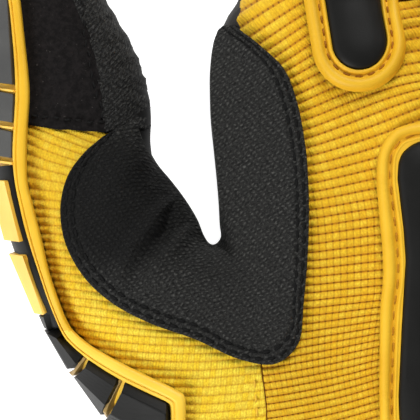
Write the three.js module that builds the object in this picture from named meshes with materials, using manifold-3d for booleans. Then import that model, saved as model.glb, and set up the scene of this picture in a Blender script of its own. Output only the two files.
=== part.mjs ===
// A right-hand mechanic glove with moulded impact guards, lying palm down.
// Millimetres, +Z up. Fingers point along +Y, the thumb is on the -X side.
// All tables are drawn from the crotch between thumb and index finger, which
// is (0, 0) on the plan; the whole group is shifted at the end, so that the
// origin lies under the middle of the glove, on the surface it rests on.
import * as THREE from 'three';
import { mergeVertices } from 'three/addons/utils/BufferGeometryUtils.js';
import Module from 'manifold-3d';

const wasm = await Module();
wasm.setup();

// ---------------------------------------------------------------- sizes (mm)
const WALL = 1.8;            // fabric and synthetic leather of the main shell
const GAP = 0.3;             // clearance between neighbouring pieces
const SEAM_Z = 15;           // height of the seam between back and palm
const CUFF_Y = -97;          // where the cuff band is sewn on
const CUFF_END = -119;       // open edge of the cuff band
const CUFF_WALL = 2.4;       // folded hem of the cuff band
const PATCH = 1.2;           // thickness of the reinforcement over the crotch
const BASE = 1.5;            // moulded rubber sheet under the black pads
const RIM = 3.1;             // moulded rim round the pads
const PAD = 4.4;             // top of the black pads over the fabric
const SEAM_X = 9.4;          // seam between thumb base and back of hand
const SLEEVE_Y = 23.5;       // seam between thumb base and thumb sleeve
const MOVE = { x: -35.2, y: -8.2, z: 0 };  // puts the origin under the middle

// -------------------------------------------------------------- body tables
// A row for each cross-section: y is its place, xl and xr the left and right
// edge, zb and zt the bottom and top. n is the squareness of the section.
const PALM = { n: 2.7, radial: 22, step: 19, from: -97, to: 50, nose: 6, rows: [
  { y: -120, xl: 8.5, xr: 93.5, zb: -1.2, zt: 33 },
  { y: -97, xl: 12, xr: 90, zb: -1.2, zt: 31 },
  { y: -84, xl: 12.5, xr: 89.5, zb: -1.2, zt: 30 },
  { y: -70, xl: 10, xr: 93, zb: -1.2, zt: 30.5 },
  { y: -52, xl: 6, xr: 100, zb: -1.2, zt: 32 },
  { y: -30, xl: 3, xr: 107, zb: -1.2, zt: 33.5 },
  { y: -10, xl: 2.6, xr: 111, zb: -1.2, zt: 34 },
  { y: 5, xl: 2.4, xr: 113, zb: -1.2, zt: 33.8 },
  { y: 20, xl: 1.1, xr: 113.5, zb: -1.2, zt: 32.4 },
  { y: 32, xl: 0.5, xr: 112, zb: -1.2, zt: 30.4 },
  { y: 41, xl: 2, xr: 108, zb: -0.8, zt: 28 },
  { y: 50, xl: 8, xr: 98, zb: 0.5, zt: 25 },
] };
const THUMB = { n: 2.4, radial: 16, step: 12, from: -78, to: 70, nose: 12, rows: [
  { y: -78, xl: 22, xr: 48, zb: -1, zt: 25 },
  { y: -66, xl: 6, xr: 46, zb: -1, zt: 28 },
  { y: -53, xl: -6, xr: 42, zb: -1, zt: 30 },
  { y: -36, xl: -18.5, xr: 34, zb: -1, zt: 31 },
  { y: -21, xl: -28, xr: 20, zb: -1, zt: 31 },
  { y: -9, xl: -34.5, xr: 8, zb: -1, zt: 30.4 },
  { y: 2, xl: -39, xr: -4.6, zb: -1, zt: 29.4 },
  { y: 11, xl: -41.6, xr: -10.6, zb: -1, zt: 28 },
  { y: 20, xl: -43.2, xr: -14.8, zb: -1, zt: 26.8 },
  { y: 30, xl: -43.8, xr: -14.8, zb: -1, zt: 25.6 },
  { y: 39, xl: -43.8, xr: -18.6, zb: -1, zt: 24.4 },
  { y: 49, xl: -43.8, xr: -24.6, zb: -1, zt: 23 },
  { y: 60, xl: -44.6, xr: -28.6, zb: -0.8, zt: 21.4 },
  { y: 70, xl: -45.5, xr: -31, zb: -0.6, zt: 19.5 },
] };
const FINGERS = {
  index: { n: 2.3, radial: 12, step: 24, from: 24, to: 124, nose: 12, rows: [
    { y: 24, xl: 10, xr: 38, zb: -1, zt: 29 },
    { y: 44, xl: 7.2, xr: 38.6, zb: -1, zt: 27.6 },
    { y: 58, xl: 9.8, xr: 37.8, zb: -1, zt: 26.4 },
    { y: 80, xl: 8.2, xr: 34.4, zb: -1, zt: 25.2 },
    { y: 102, xl: 6.2, xr: 29.6, zb: -1, zt: 22.4 },
    { y: 124, xl: 4.6, xr: 25.4, zb: -1, zt: 18.4 },
  ] },
  middle: { n: 2.3, radial: 12, step: 24, from: 24, to: 136, nose: 12, rows: [
    { y: 24, xl: 40, xr: 65, zb: -1, zt: 30.5 },
    { y: 48, xl: 39.6, xr: 65.2, zb: -1, zt: 28.6 },
    { y: 70, xl: 39.6, xr: 64.8, zb: -1, zt: 27 },
    { y: 92, xl: 39.6, xr: 63.6, zb: -1, zt: 25.4 },
    { y: 114, xl: 39.2, xr: 61.8, zb: -1, zt: 22.4 },
    { y: 136, xl: 39.4, xr: 59.6, zb: -1, zt: 18.4 },
  ] },
  ring: { n: 2.3, radial: 12, step: 24, from: 22, to: 127, nose: 12, rows: [
    { y: 22, xl: 65, xr: 90, zb: -1, zt: 30 },
    { y: 46, xl: 65.8, xr: 90.6, zb: -1, zt: 28 },
    { y: 68, xl: 67, xr: 91.6, zb: -1, zt: 26.4 },
    { y: 90, xl: 68.4, xr: 92, zb: -1, zt: 24.6 },
    { y: 108, xl: 69.4, xr: 91.8, zb: -1, zt: 22 },
    { y: 127, xl: 70.6, xr: 90.6, zb: -1, zt: 18.2 },
  ] },
  pinky: { n: 2.3, radial: 12, step: 24, from: 10, to: 104, nose: 11, rows: [
    { y: 10, xl: 84, xr: 105, zb: -1, zt: 27 },
    { y: 34, xl: 90, xr: 112.6, zb: -1, zt: 25.6 },
    { y: 54, xl: 93, xr: 115.4, zb: -1, zt: 24 },
    { y: 74, xl: 96.6, xr: 117.8, zb: -1, zt: 22.4 },
    { y: 90, xl: 99.8, xr: 119.4, zb: -1, zt: 20.2 },
    { y: 104, xl: 102.6, xr: 120.2, zb: -1, zt: 17.4 },
  ] },
};
// Moulded finger guards: foot and head are the two ends on the plan, w and h
// the widths there.
const FINGER_GUARDS = {
  index: { foot: { x: 30.2, y: 30.4 }, head: { x: 20.4, y: 84 }, w: 18.6, h: 16.4 },
  middle: { foot: { x: 52.6, y: 37 }, head: { x: 51.8, y: 94 }, w: 18, h: 16 },
  ring: { foot: { x: 77.6, y: 34.5 }, head: { x: 80, y: 86 }, w: 17.4, h: 15.4 },
  pinky: { foot: { x: 100.6, y: 24 }, head: { x: 107.4, y: 68 }, w: 15.4, h: 13.6 },
};
const GUARD_LIP = 3.9;        // yellow rim between guard edge and black pad
// Guard over the back of the hand, its corners in order, with their radius.
const HAND_GUARD = [
  { x: 32.2, y: 23.8, r: 8 }, { x: 66, y: 24.6, r: 20 }, { x: 103, y: 13, r: 8 },
  { x: 101, y: -20, r: 30 }, { x: 90, y: -54, r: 10 }, { x: 33.4, y: -54, r: 9 },
];
// Four black pads along the hand bones: head and foot of each.
const HAND_PADS = {
  index: { foot: { x: 43.4, y: -49.5 }, head: { x: 42.2, y: 20 }, w: 12.6 },
  middle: { foot: { x: 57, y: -49.5 }, head: { x: 58.6, y: 20.6 }, w: 12.6 },
  ring: { foot: { x: 70.4, y: -49.5 }, head: { x: 75.2, y: 18.2 }, w: 12.6 },
  pinky: { foot: { x: 83.4, y: -48 }, head: { x: 92, y: 13.2 }, w: 12.4 },
};
// Inner edge of the thumb guard's rim on the plan, from thumb tip to wrist.
const THUMB_RIM = [
  { x: -41.5, y: 60 }, { x: -39.2, y: 48.6 }, { x: -37.8, y: 38.6 },
  { x: -37.2, y: 28 }, { x: -37.6, y: 16.6 }, { x: -35.6, y: 4 },
  { x: -31.2, y: -10.6 }, { x: -28.4, y: -17.6 }, { x: -23, y: -21.4 },
  { x: -13, y: -26.4 }, { x: -7, y: -30 }, { x: -6, y: -36 }, { x: -3.4, y: -52 },
];
const RIM_WIDTH = 2.5;
// Black blocks of the thumb guard between two ribs: from y0 down to y1 where
// they meet the rim, and how far each rib slants towards the edge.
const THUMB_BLOCKS = [
  { name: 'thumb_block_1', y0: 57, y1: 47.4, slant: 0.10 },
  { name: 'thumb_block_2', y0: 46.2, y1: 32, slant: 0.10 },
  { name: 'thumb_block_3', y0: 30.2, y1: 24.9, slant: 0.12 },
  { name: 'thumb_block_4', y0: 23.7, y1: 17.3, slant: 0.14 },
];
const FRAME_Y = { top: 15.4, bottom: -16.6 };
const THUMB_PADS = [
  { name: 'thumb_pad_1', x: -39.2, y0: 12.6, y1: 0.2, lean: 2.2 },
  { name: 'thumb_pad_2', x: -35.6, y0: -2.4, y1: -15, lean: 4.4 },
];
// Lower blocks fan out towards the wrist: corners of each on the plan.
const FAN_BLOCKS = [
  { name: 'thumb_block_5', pts: [[-33.4, -18.2], [-30.9, -18.5], [-26.5, -22.5], [-35.2, -33], [-46, -22]] },
  { name: 'thumb_block_6', pts: [[-25.6, -23.3], [-19.4, -26.6], [-27, -42.5], [-34.3, -34]] },
  { name: 'thumb_block_7', pts: [[-18.4, -27.2], [-10, -31.4], [-9.2, -36], [-6.8, -50.5], [-10, -58], [-17.8, -60], [-26, -43]] },
];
const PATCH_EDGE = [   // outline of the reinforcement patch, clockwise
  { x: 1, y: 44.2 }, { x: 5.4, y: 43 }, { x: 11, y: 37.6 }, { x: 15.4, y: 31 },
  { x: 17.6, y: 22 }, { x: 18.4, y: 8 }, { x: 17.6, y: -12 }, { x: 15.4, y: -21 },
  { x: 10.6, y: -24 }, { x: 2, y: -22.6 }, { x: -11, y: -17 }, { x: -21.6, y: -11 },
  { x: -28.4, y: -4 }, { x: -31, y: 5 }, { x: -28.4, y: 14.4 }, { x: -22.6, y: 21.4 },
  { x: -15, y: 25.4 }, { x: -9.5, y: 25.4 },
];

// ------------------------------------------------------------------- helpers
function solid(geometry) {
  const g = geometry.clone();
  g.deleteAttribute('normal');
  g.deleteAttribute('uv');
  const m = mergeVertices(g, 1e-4);
  return new wasm.Manifold(new wasm.Mesh({
    numProp: 3,
    vertProperties: new Float32Array(m.attributes.position.array),
    triVerts: new Uint32Array(m.index.array),
  }));
}
// Smooth value of one column of a table at y.
function column(rows, key, y) {
  const n = rows.length;
  let i = 0;
  while (i < n - 2 && y > rows[i + 1].y) i++;
  const a = rows[i], b = rows[i + 1], h = b.y - a.y;
  const slope = (k) => {
    const p = rows[Math.max(0, k - 1)], q = rows[Math.min(n - 1, k + 1)];
    return (q[key] - p[key]) / (q.y - p.y);
  };
  const t = Math.min(1, Math.max(0, (y - a.y) / h));
  const t2 = t * t, t3 = t2 * t;
  return (2 * t3 - 3 * t2 + 1) * a[key] + (t3 - 2 * t2 + t) * h * slope(i)
    + (-2 * t3 + 3 * t2) * b[key] + (t3 - t2) * h * slope(i + 1);
}
// One limb of the glove as a closed tube through its table, grown by d. It
// lies flat on the height "floor", and "back" moves its open end backwards.
function limb(part, d, floor, back = 0) {
  const y0 = part.from - back, y1 = part.to + d, nose = part.nose + d;
  const ys = [];
  const body = Math.max(2, Math.ceil((y1 - nose - y0) / part.step));
  for (let i = 0; i <= body; i++) ys.push([y0 + (y1 - nose - y0) * i / body, 1]);
  for (const u of [0.6, 0.94]) ys.push([y1 - nose + nose * u, Math.sqrt(1 - u * u)]);
  const geo = new THREE.CylinderGeometry(1, 1, 1, part.radial, ys.length - 1, false);
  const pos = geo.attributes.position;
  for (let i = 0; i < pos.count; i++) {
    const t = Math.round((pos.getY(i) + 0.5) * (ys.length - 1));
    const [y, s] = ys[t];
    const r = Math.min(1, Math.hypot(pos.getX(i), pos.getZ(i)));
    const th = Math.atan2(pos.getZ(i), pos.getX(i));
    const xl = column(part.rows, 'xl', y), xr = column(part.rows, 'xr', y);
    const zb = column(part.rows, 'zb', y), zt = column(part.rows, 'zt', y);
    const a = ((xr - xl) / 2 + d) * s * r, b = ((zt - zb) / 2 + d) * s * r;
    const p = (v) => Math.sign(v) * Math.pow(Math.abs(v), 2 / part.n);
    const z = (zt + zb) / 2 + b * p(Math.sin(th));
    pos.setXYZ(i, (xl + xr) / 2 + a * p(Math.cos(th)), y, Math.max(z, floor));
  }
  return solid(geo);
}
function hand(d, floor, back = 0) {
  let all = limb(PALM, d, floor, back).add(limb(THUMB, d, floor));
  for (const f of Object.values(FINGERS)) all = all.add(limb(f, d, floor));
  return all;
}
function prism(points, z0, z1) {
  const shape = new THREE.Shape(points.map((p) => new THREE.Vector2(p[0] ?? p.x, p[1] ?? p.y)));
  const geo = new THREE.ExtrudeGeometry(shape, { depth: z1 - z0, bevelEnabled: false });
  geo.translate(0, 0, z0);
  return solid(geo);
}
function block(x0, x1, y0, y1, z0, z1) {
  const geo = new THREE.BoxGeometry(x1 - x0, y1 - y0, z1 - z0);
  geo.translate((x0 + x1) / 2, (y0 + y1) / 2, (z0 + z1) / 2);
  return solid(geo);
}
function smooth(points, count, closed) {
  const v = points.map((p) => new THREE.Vector3(p.x, p.y, 0));
  const curve = new THREE.CatmullRomCurve3(v, closed, 'centripetal');
  const out = curve.getPoints(count).map((p) => [p.x, p.y]);
  if (closed) out.pop();
  return out;
}
// A slot outline with round ends, from foot to head, shrunk by "inset".
function slot(g, inset, sides = 6) {
  const dx = g.head.x - g.foot.x, dy = g.head.y - g.foot.y, len = Math.hypot(dx, dy);
  const ux = dx / len, uy = dy / len, r0 = g.w / 2, r1 = (g.h ?? g.w) / 2, out = [];
  const end = (c, r, ang, flip) => {
    for (let i = 0; i <= sides; i++) {
      const t = ang + Math.PI * i / sides;
      const s = Math.cos(t) * (r - inset), f = Math.sin(t) * (r - inset);
      out.push([c.x + uy * s + ux * f, c.y - ux * s + uy * f]);
    }
  };
  end({ x: g.head.x - ux * r1, y: g.head.y - uy * r1 }, r1, 0);
  end({ x: g.foot.x + ux * r0, y: g.foot.y + uy * r0 }, r0, Math.PI);
  return out;
}
// A polygon with each corner rounded to its own radius, shrunk by "inset".
function rounded(corners, inset, sides = 4) {
  const n = corners.length, out = [];
  const cx = corners.reduce((s, c) => s + c.x, 0) / n, cy = corners.reduce((s, c) => s + c.y, 0) / n;
  const pull = (c) => {
    const l = Math.hypot(c.x - cx, c.y - cy);
    return { x: c.x - (c.x - cx) / l * inset * 1.3, y: c.y - (c.y - cy) / l * inset * 1.3, r: c.r };
  };
  const cs = corners.map(pull);
  cs.forEach((c, i) => {
    const a = cs[(i + n - 1) % n], b = cs[(i + 1) % n];
    const la = Math.hypot(a.x - c.x, a.y - c.y), lb = Math.hypot(b.x - c.x, b.y - c.y);
    const k = Math.min(c.r * 0.8, la * 0.4, lb * 0.4);
    const p = [c.x + (a.x - c.x) / la * k, c.y + (a.y - c.y) / la * k];
    const q = [c.x + (b.x - c.x) / lb * k, c.y + (b.y - c.y) / lb * k];
    const curve = new THREE.QuadraticBezierCurve(new THREE.Vector2(...p), new THREE.Vector2(c.x, c.y), new THREE.Vector2(...q));
    for (const v of curve.getPoints(sides)) out.push([v.x, v.y]);
  });
  return out;
}
const layers = new Map();
const grown = (d) => {
  if (!layers.has(d)) layers.set(d, hand(d, -20));
  return layers.get(d);
};
// The layer between two heights over the fabric, inside an outline.
const layer = (d0, d1, region) => grown(d1).intersect(region).subtract(grown(d0));
// The largest body of a result, so that stray slivers are left out.
function main(m) {
  const parts = m.decompose();
  return parts.reduce((a, b) => (b.volume() > a.volume() ? b : a));
}
const group = new THREE.Group();
function add(name, m, color, roughness, metalness = 0) {
  const mesh = main(m).getMesh();
  const geo = new THREE.BufferGeometry();
  geo.setAttribute('position', new THREE.BufferAttribute(new Float32Array(mesh.vertProperties), 3));
  geo.setIndex(new THREE.BufferAttribute(new Uint32Array(mesh.triVerts), 1));
  geo.computeVertexNormals();
  const part = new THREE.Mesh(geo, new THREE.MeshStandardMaterial({ color, roughness, metalness }));
  part.name = name;
  group.add(part);
}
const YELLOW = 0xe9b41f, RUBBER_YELLOW = 0xe8b030, LEATHER = 0x1e1d1e, RUBBER = 0x2b2b2a;

// --------------------------------------------------------------- fabric shell
const shell = hand(0, 0).subtract(hand(-WALL, WALL, 30));
const g = GAP / 2;
const sleeveZone = block(-80, -6, SLEEVE_Y + g, 90, -5, 60);
const notSleeve = block(-80, -6, SLEEVE_Y - g, 90, -5, 60);
add('thumb_sleeve', shell.intersect(sleeveZone), LEATHER, 0.85);

const upper = shell.subtract(notSleeve).intersect(block(-90, 140, CUFF_Y, 150, SEAM_Z + g, 60));
const thumbZone = (o) => prism([[-80, 40], [-1 - o, 40], [-1 - o, -2 - o], [SEAM_X - o, -2 - o], [SEAM_X - o, -110], [-80, -110]], -5, 60);
add('thumb_base_panel', upper.intersect(thumbZone(g)), YELLOW, 0.8);
add('back_panel', upper.subtract(thumbZone(-g)), YELLOW, 0.8);
add('palm_panel', shell.subtract(notSleeve).intersect(block(-90, 140, CUFF_Y, 150, -5, SEAM_Z - g)), LEATHER, 0.8);

// ------------------------------------------------------------------ cuff band
const cuffPart = { ...PALM, from: CUFF_END, to: -80, nose: 0.01 };
const cuffBlock = block(-40, 140, CUFF_END, CUFF_Y - GAP, -5, 60);
const cuffOut = limb({ ...cuffPart }, 0.6, 0).intersect(cuffBlock);
const cuffIn = limb({ ...cuffPart, from: CUFF_END - 10 }, 0.6 - CUFF_WALL, CUFF_WALL);
add('cuff_band', cuffOut.subtract(cuffIn), LEATHER, 0.9);

// ---------------------------------------------------------- crotch patch
const patchZone = prism(smooth(PATCH_EDGE, 54, true), 7, 60);
add('saddle_patch', layer(GAP, GAP + PATCH, patchZone), 0x262625, 0.85);

// ------------------------------------------------------- guards on the fingers
for (const [f, guard] of Object.entries(FINGER_GUARDS)) {
  const outer = prism(slot(guard, 0), 12, 60);
  const recess = prism(slot(guard, GUARD_LIP), 12, 60);
  const black = prism(slot(guard, GUARD_LIP + GAP), 12, 60);
  const body = layer(GAP, GAP + RIM, outer).subtract(layer(GAP + BASE, GAP + RIM + 3, recess));
  add(`finger_guard_${f}`, body, RUBBER_YELLOW, 0.55);
  add(`finger_pad_${f}`, layer(2 * GAP + BASE, GAP + PAD, black), RUBBER, 0.45);
}

// ------------------------------------------------------ guard over the knuckles
{
  let body = layer(GAP, GAP + RIM, prism(rounded(HAND_GUARD, 0), 12, 60));
  for (const [f, pad] of Object.entries(HAND_PADS)) {
    body = body.subtract(layer(GAP + BASE, GAP + RIM + 3, prism(slot(pad, 0, 4), 12, 60)));
    add(`knuckle_pad_${f}`, layer(2 * GAP + BASE, GAP + PAD, prism(slot(pad, GAP, 4), 12, 60)), RUBBER, 0.45);
  }
  add('knuckle_guard', body, RUBBER_YELLOW, 0.55);
}

// ------------------------------------------------------- guard along the thumb
{
  const rim = smooth(THUMB_RIM, 34, false);
  const shift = (pts, w) => pts.map((p, i) => {
    const a = pts[Math.max(0, i - 1)], b = pts[Math.min(pts.length - 1, i + 1)];
    const dx = b[0] - a[0], dy = b[1] - a[1], l = Math.hypot(dx, dy);
    return [p[0] + dy / l * w, p[1] - dx / l * w];
  });
  const wrist = { x: -10, y: -64 }, tip = { x: -45, y: 64 };
  const outline = (w, lift) => [...shift(rim, w),
    [wrist.x - w, wrist.y + w], [-60, wrist.y + w], [-70, 0], [-62, tip.y - w], [tip.x - w, tip.y - w]];
  const BOTTOM = 6.5;
  const field = prism(outline(RIM_WIDTH + GAP), BOTTOM + RIM_WIDTH, 60);
  let body = layer(GAP, GAP + RIM, prism(outline(0), BOTTOM, 60));
  const wide = prism(outline(RIM_WIDTH), BOTTOM + RIM_WIDTH - GAP, 60);
  body = body.subtract(layer(GAP + BASE, GAP + RIM + 3, wide));
  add('thumb_guard', body, RUBBER_YELLOW, 0.55);
  const low = GAP * 2 + BASE;
  for (const b of THUMB_BLOCKS) {
    const w = 40;
    const zone = prism([[-30, b.y0], [-30, b.y1], [-30 - w, b.y1 + w * b.slant], [-30 - w, b.y0 + w * b.slant]], BOTTOM, 60);
    add(b.name, layer(low, GAP + PAD, field.intersect(zone)), RUBBER, 0.4);
  }
  for (const b of FAN_BLOCKS) {
    add(b.name, layer(low, GAP + PAD, field.intersect(prism(b.pts, BOTTOM, 60))), RUBBER, 0.4);
  }
  const padShape = (p, o) => [[p.x + o, p.y0 + o], [p.x + p.lean + o, p.y1 - o], [-70, p.y1 - o], [-70, p.y0 + o]];
  let frame = layer(low, GAP + RIM + 0.3, field.intersect(block(-80, -20, FRAME_Y.bottom, FRAME_Y.top, BOTTOM, 60)));
  for (const p of THUMB_PADS) {
    frame = frame.subtract(prism(padShape(p, GAP), 11 - GAP, 60));
    add(p.name, layer(low, GAP + PAD, field.intersect(prism(padShape(p, 0), 11, 60))), RUBBER_YELLOW, 0.55);
  }
  add('thumb_frame', frame, RUBBER, 0.45);
}

group.position.set(MOVE.x, MOVE.y, MOVE.z);
export default group;
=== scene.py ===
# Mechanic glove, right hand, lying palm down: the visible surfaces built round
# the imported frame. Plan coordinates are millimetres from the crotch between
# thumb and index finger, +X towards the little finger, +Y towards the tips.
import math
import bpy
import bmesh
import numpy as np
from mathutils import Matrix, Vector
from mathutils.geometry import delaunay_2d_cdt


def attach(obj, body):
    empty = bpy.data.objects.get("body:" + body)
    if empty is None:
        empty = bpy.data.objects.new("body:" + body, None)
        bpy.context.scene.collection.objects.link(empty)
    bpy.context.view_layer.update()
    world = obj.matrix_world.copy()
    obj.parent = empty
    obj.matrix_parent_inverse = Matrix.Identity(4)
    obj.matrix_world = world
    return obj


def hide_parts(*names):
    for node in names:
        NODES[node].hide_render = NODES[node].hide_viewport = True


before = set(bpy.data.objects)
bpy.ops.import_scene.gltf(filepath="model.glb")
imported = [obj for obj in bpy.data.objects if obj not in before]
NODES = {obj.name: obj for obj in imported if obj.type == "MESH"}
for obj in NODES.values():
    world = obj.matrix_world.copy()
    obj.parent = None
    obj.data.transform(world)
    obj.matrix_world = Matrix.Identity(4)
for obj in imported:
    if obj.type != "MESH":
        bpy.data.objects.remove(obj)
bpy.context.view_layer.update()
MOVE = (-35.2, -8.2)          # plan zero in the row frame, mm
RNG = np.random.default_rng(11)

# ------------------------------------------------------------- body tables
# y, left edge, right edge, bottom, top of each cross-section
PALM = dict(n=2.7, to=50.0, nose=6.0, start=None, t=[
    (-120, 8.5, 93.5, -1.2, 33), (-97, 12, 90, -1.2, 31), (-84, 12.5, 89.5, -1.2, 30),
    (-70, 10, 93, -1.2, 30.5), (-52, 6, 100, -1.2, 32), (-30, 3, 107, -1.2, 33.5),
    (-10, 2.6, 111, -1.2, 34), (5, 2.4, 113, -1.2, 33.8), (20, 1.1, 113.5, -1.2, 32.4),
    (32, 0.5, 112, -1.2, 30.4), (41, 2, 108, -0.8, 28), (50, 8, 98, 0.5, 25)])
THUMB = dict(n=2.4, to=70.0, nose=12.0, start=(-78, 14), t=[
    (-78, 22, 48, -1, 25), (-66, 6, 46, -1, 28), (-53, -6, 42, -1, 30),
    (-36, -18.5, 34, -1, 31), (-21, -28, 20, -1, 31), (-9, -34.5, 8, -1, 30.4),
    (2, -39, -4.6, -1, 29.4), (11, -41.6, -10.6, -1, 28), (20, -43.2, -14.5, -1, 26.8),
    (30, -43.8, -14.1, -1, 25.6), (39, -43.8, -16.8, -1, 24.4), (49, -43.8, -22.4, -1, 23),
    (60, -44.6, -27.4, -0.8, 21.4), (70, -45.5, -31, -0.6, 19.5)])
FINGERS = dict(
    index=dict(n=2.3, to=124.0, nose=12.0, start=(24, 12), t=[
        (24, 10, 38, -1, 29), (44, 3.7, 38.6, -1, 27.6), (58, 7.8, 37.8, -1, 26.4),
        (80, 8.2, 34.4, -1, 25.2), (102, 6.2, 29.6, -1, 22.4), (124, 4.6, 25.4, -1, 18.4)]),
    middle=dict(n=2.3, to=136.0, nose=12.0, start=(24, 12), t=[
        (24, 40, 65, -1, 30.5), (48, 39.6, 65.2, -1, 28.6), (70, 39.6, 64.8, -1, 27),
        (92, 39.6, 63.6, -1, 25.4), (114, 39.2, 61.8, -1, 22.4), (136, 39.4, 59.6, -1, 18.4)]),
    ring=dict(n=2.3, to=127.0, nose=12.0, start=(22, 12), t=[
        (22, 65, 90, -1, 30), (46, 65.8, 90.6, -1, 28), (68, 67, 91.6, -1, 26.4),
        (90, 68.4, 92, -1, 24.6), (108, 69.4, 91.8, -1, 22), (127, 70.6, 90.6, -1, 18.2)]),
    pinky=dict(n=2.3, to=104.0, nose=11.0, start=(10, 12), t=[
        (10, 84, 105, -1, 27), (34, 90, 112.6, -1, 25.6), (54, 93, 115.4, -1, 24),
        (74, 96.6, 117.8, -1, 22.4), (90, 99.8, 119.4, -1, 20.2), (104, 102.6, 120.2, -1, 17.4)]))
for part in [PALM, THUMB, *FINGERS.values()]:
    t = part["t"] = np.array(part["t"], float)
    k = np.arange(len(t))
    p, q = np.maximum(k - 1, 0), np.minimum(k + 1, len(t) - 1)
    part["s"] = (t[q, 1:] - t[p, 1:]) / (t[q, :1] - t[p, :1])


def columns(part, y):
    t, s = part["t"], part["s"]
    i = np.clip(np.searchsorted(t[:, 0], y, side="right") - 1, 0, len(t) - 2)
    h = t[i + 1, 0] - t[i, 0]
    u = np.clip((y - t[i, 0]) / h, 0, 1)[..., None]
    h = h[..., None]
    u2, u3 = u * u, u * u * u
    v = ((2 * u3 - 3 * u2 + 1) * t[i, 1:] + (u3 - 2 * u2 + u) * h * s[i]
         + (3 * u2 - 2 * u3) * t[i + 1, 1:] + (u3 - u2) * h * s[i + 1])
    return v[..., 0], v[..., 1], v[..., 2], v[..., 3]


# --------------------------------------------------------------- the surface
# Gentle swells and hollows of the stuffed fabric: x, y, reach along and
# across, turn of the long axis in degrees, height.
SWELLS = [
    (-24, 4, 13, 6.5, 60, 1.3), (-17, 16, 6, 4, 20, 1.0), (-26, 22.5, 4.5, 2.2, -12, -0.8),
    (-14.5, 23, 5, 3, 75, 1.0), (14, -4, 22, 6, 88, 0.9), (25, 12, 14, 7, 80, 0.5),
    (-14, -18, 12, 5, -28, 0.8), (12, 34, 8, 5, 50, 0.6), (30, 24, 9, 3.5, 20, -0.5),
    (22, -24, 14, 6, 70, -0.5), (60, -62, 26, 6, 5, -0.9), (48, -80, 30, 5, -4, 0.6),
]
CREASE = [(-3.4, 9.8), (-5.4, 7.6), (-8.0, 4.8), (-10.6, 1.4), (-13.6, -2.0), (-15.4, -5.2), (-16.6, -8.4), (-17.2, -11.5)]


def relief(x, y):
    r = np.zeros_like(x)
    for cx, cy, along, across, turn, height in SWELLS:
        c, s = math.cos(math.radians(turn)), math.sin(math.radians(turn))
        u, v = ((x - cx) * c + (y - cy) * s) / along, (-(x - cx) * s + (y - cy) * c) / across
        r += height * np.exp(-(u * u + v * v))
    pts = np.array(CREASE)
    d = np.full_like(x, 1e9)
    w = np.zeros_like(x)
    for k in range(len(pts) - 1):
        a, b = pts[k], pts[k + 1]
        e = b - a
        t = np.clip(((x - a[0]) * e[0] + (y - a[1]) * e[1]) / (e @ e), 0, 1)
        dd = np.hypot(x - a[0] - t * e[0], y - a[1] - t * e[1])
        near = dd < d
        w = np.where(near, (k + t) / (len(pts) - 1), w)
        d = np.minimum(d, dd)
    depth = 2.0 * np.clip(1.7 * (1 - w), 0, 1) * np.clip(0.45 + 4 * w, 0, 1)
    return r - depth * np.exp(-(d / 1.55) ** 2) + 0.5 * depth * np.exp(-((d - 3.2) / 1.6) ** 2)


def prepare(part, x, y):
    xl, xr, zb, zt = columns(part, y)
    a, b, n = (xr - xl) / 2, (zt - zb) / 2, part["n"]
    q = np.abs((x - (xl + xr) / 2) / a) ** n
    q = q + (np.clip(y - (part["to"] - part["nose"]), 0, None) / part["nose"]) ** n
    if part["start"]:
        y0, cap = part["start"]
        q = q + (np.clip(y0 + cap - y, 0, None) / cap) ** n
    return q, b, (zt + zb) / 2, np.minimum(a, b), n


def value(pre, z):
    q, b, c, s, n = pre
    return ((q + np.abs((z - c) / b) ** n) ** (1 / n) - 1) * s


def smin(a, b, k):
    h = np.clip(k - np.abs(a - b), 0, None) / k
    return np.minimum(a, b) - h * h * k / 4


class Field:
    """Signed height over the glove's outer surface, for fixed x and y."""

    def __init__(self, x, y, fingers=True):
        self.x, self.y = np.asarray(x, float), np.asarray(y, float)
        self.palm = prepare(PALM, self.x, self.y)
        self.thumb = prepare(THUMB, self.x, self.y)
        self.fingers = [prepare(f, self.x, self.y) for f in FINGERS.values()] if fingers else []
        self.r = relief(self.x, self.y)
        self.k = np.interp(self.y, [-22, -10, -4, 0, 4], [9, 8, 6, 2.5, 0.8])

    def __call__(self, z):
        palm = value(self.palm, z)
        out = smin(palm, value(self.thumb, z), self.k)
        for f in self.fingers:
            out = np.minimum(out, smin(palm, value(f, z), 4.0))
        return out - self.r * np.clip((z - 8) / 8, 0, 1)


def top(x, y, level=0.0):
    f = Field(x, y)
    lo, hi = np.full(f.x.shape, 12.0), np.full(f.x.shape, 46.0)
    for _ in range(22):
        mid = (lo + hi) / 2
        inside = f(mid) < level
        lo, hi = np.where(inside, mid, lo), np.where(inside, hi, mid)
    return (lo + hi) / 2


def gradient(p, e=0.08, fingers=True):
    x, y, z = p[..., 0], p[..., 1], p[..., 2]
    f = Field(x, y, fingers)
    g = np.stack([Field(x + e, y, fingers)(z) - Field(x - e, y, fingers)(z),
                  Field(x, y + e, fingers)(z) - Field(x, y - e, fingers)(z), f(z + e) - f(z - e)], -1)
    return g / (2 * e), f(z)


def normal(p, fingers=True):
    g, _ = gradient(p, 0.25, fingers)
    return g / np.maximum(np.linalg.norm(g, axis=-1, keepdims=True), 1e-9)


def settle(p, level=0.0, steps=3):
    for _ in range(steps):
        g, v = gradient(p)
        p = p - g * ((v - level) / np.maximum((g * g).sum(-1), 1e-6))[..., None]
    return p


def plan_surface(u, v):
    p = np.stack([u, v, top(u, v)], -1)
    return p, normal(p)


def thumb_angle(x, y):
    """Section angle of a plan point on the thumb's upper side, in degrees."""
    xl, xr, _, _ = columns(THUMB, np.asarray(y, float))
    c = np.clip((x - (xl + xr) / 2) / ((xr - xl) / 2), -1, 1)
    return np.degrees(np.arccos(np.sign(c) * np.abs(c) ** (THUMB["n"] / 2)))


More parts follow.
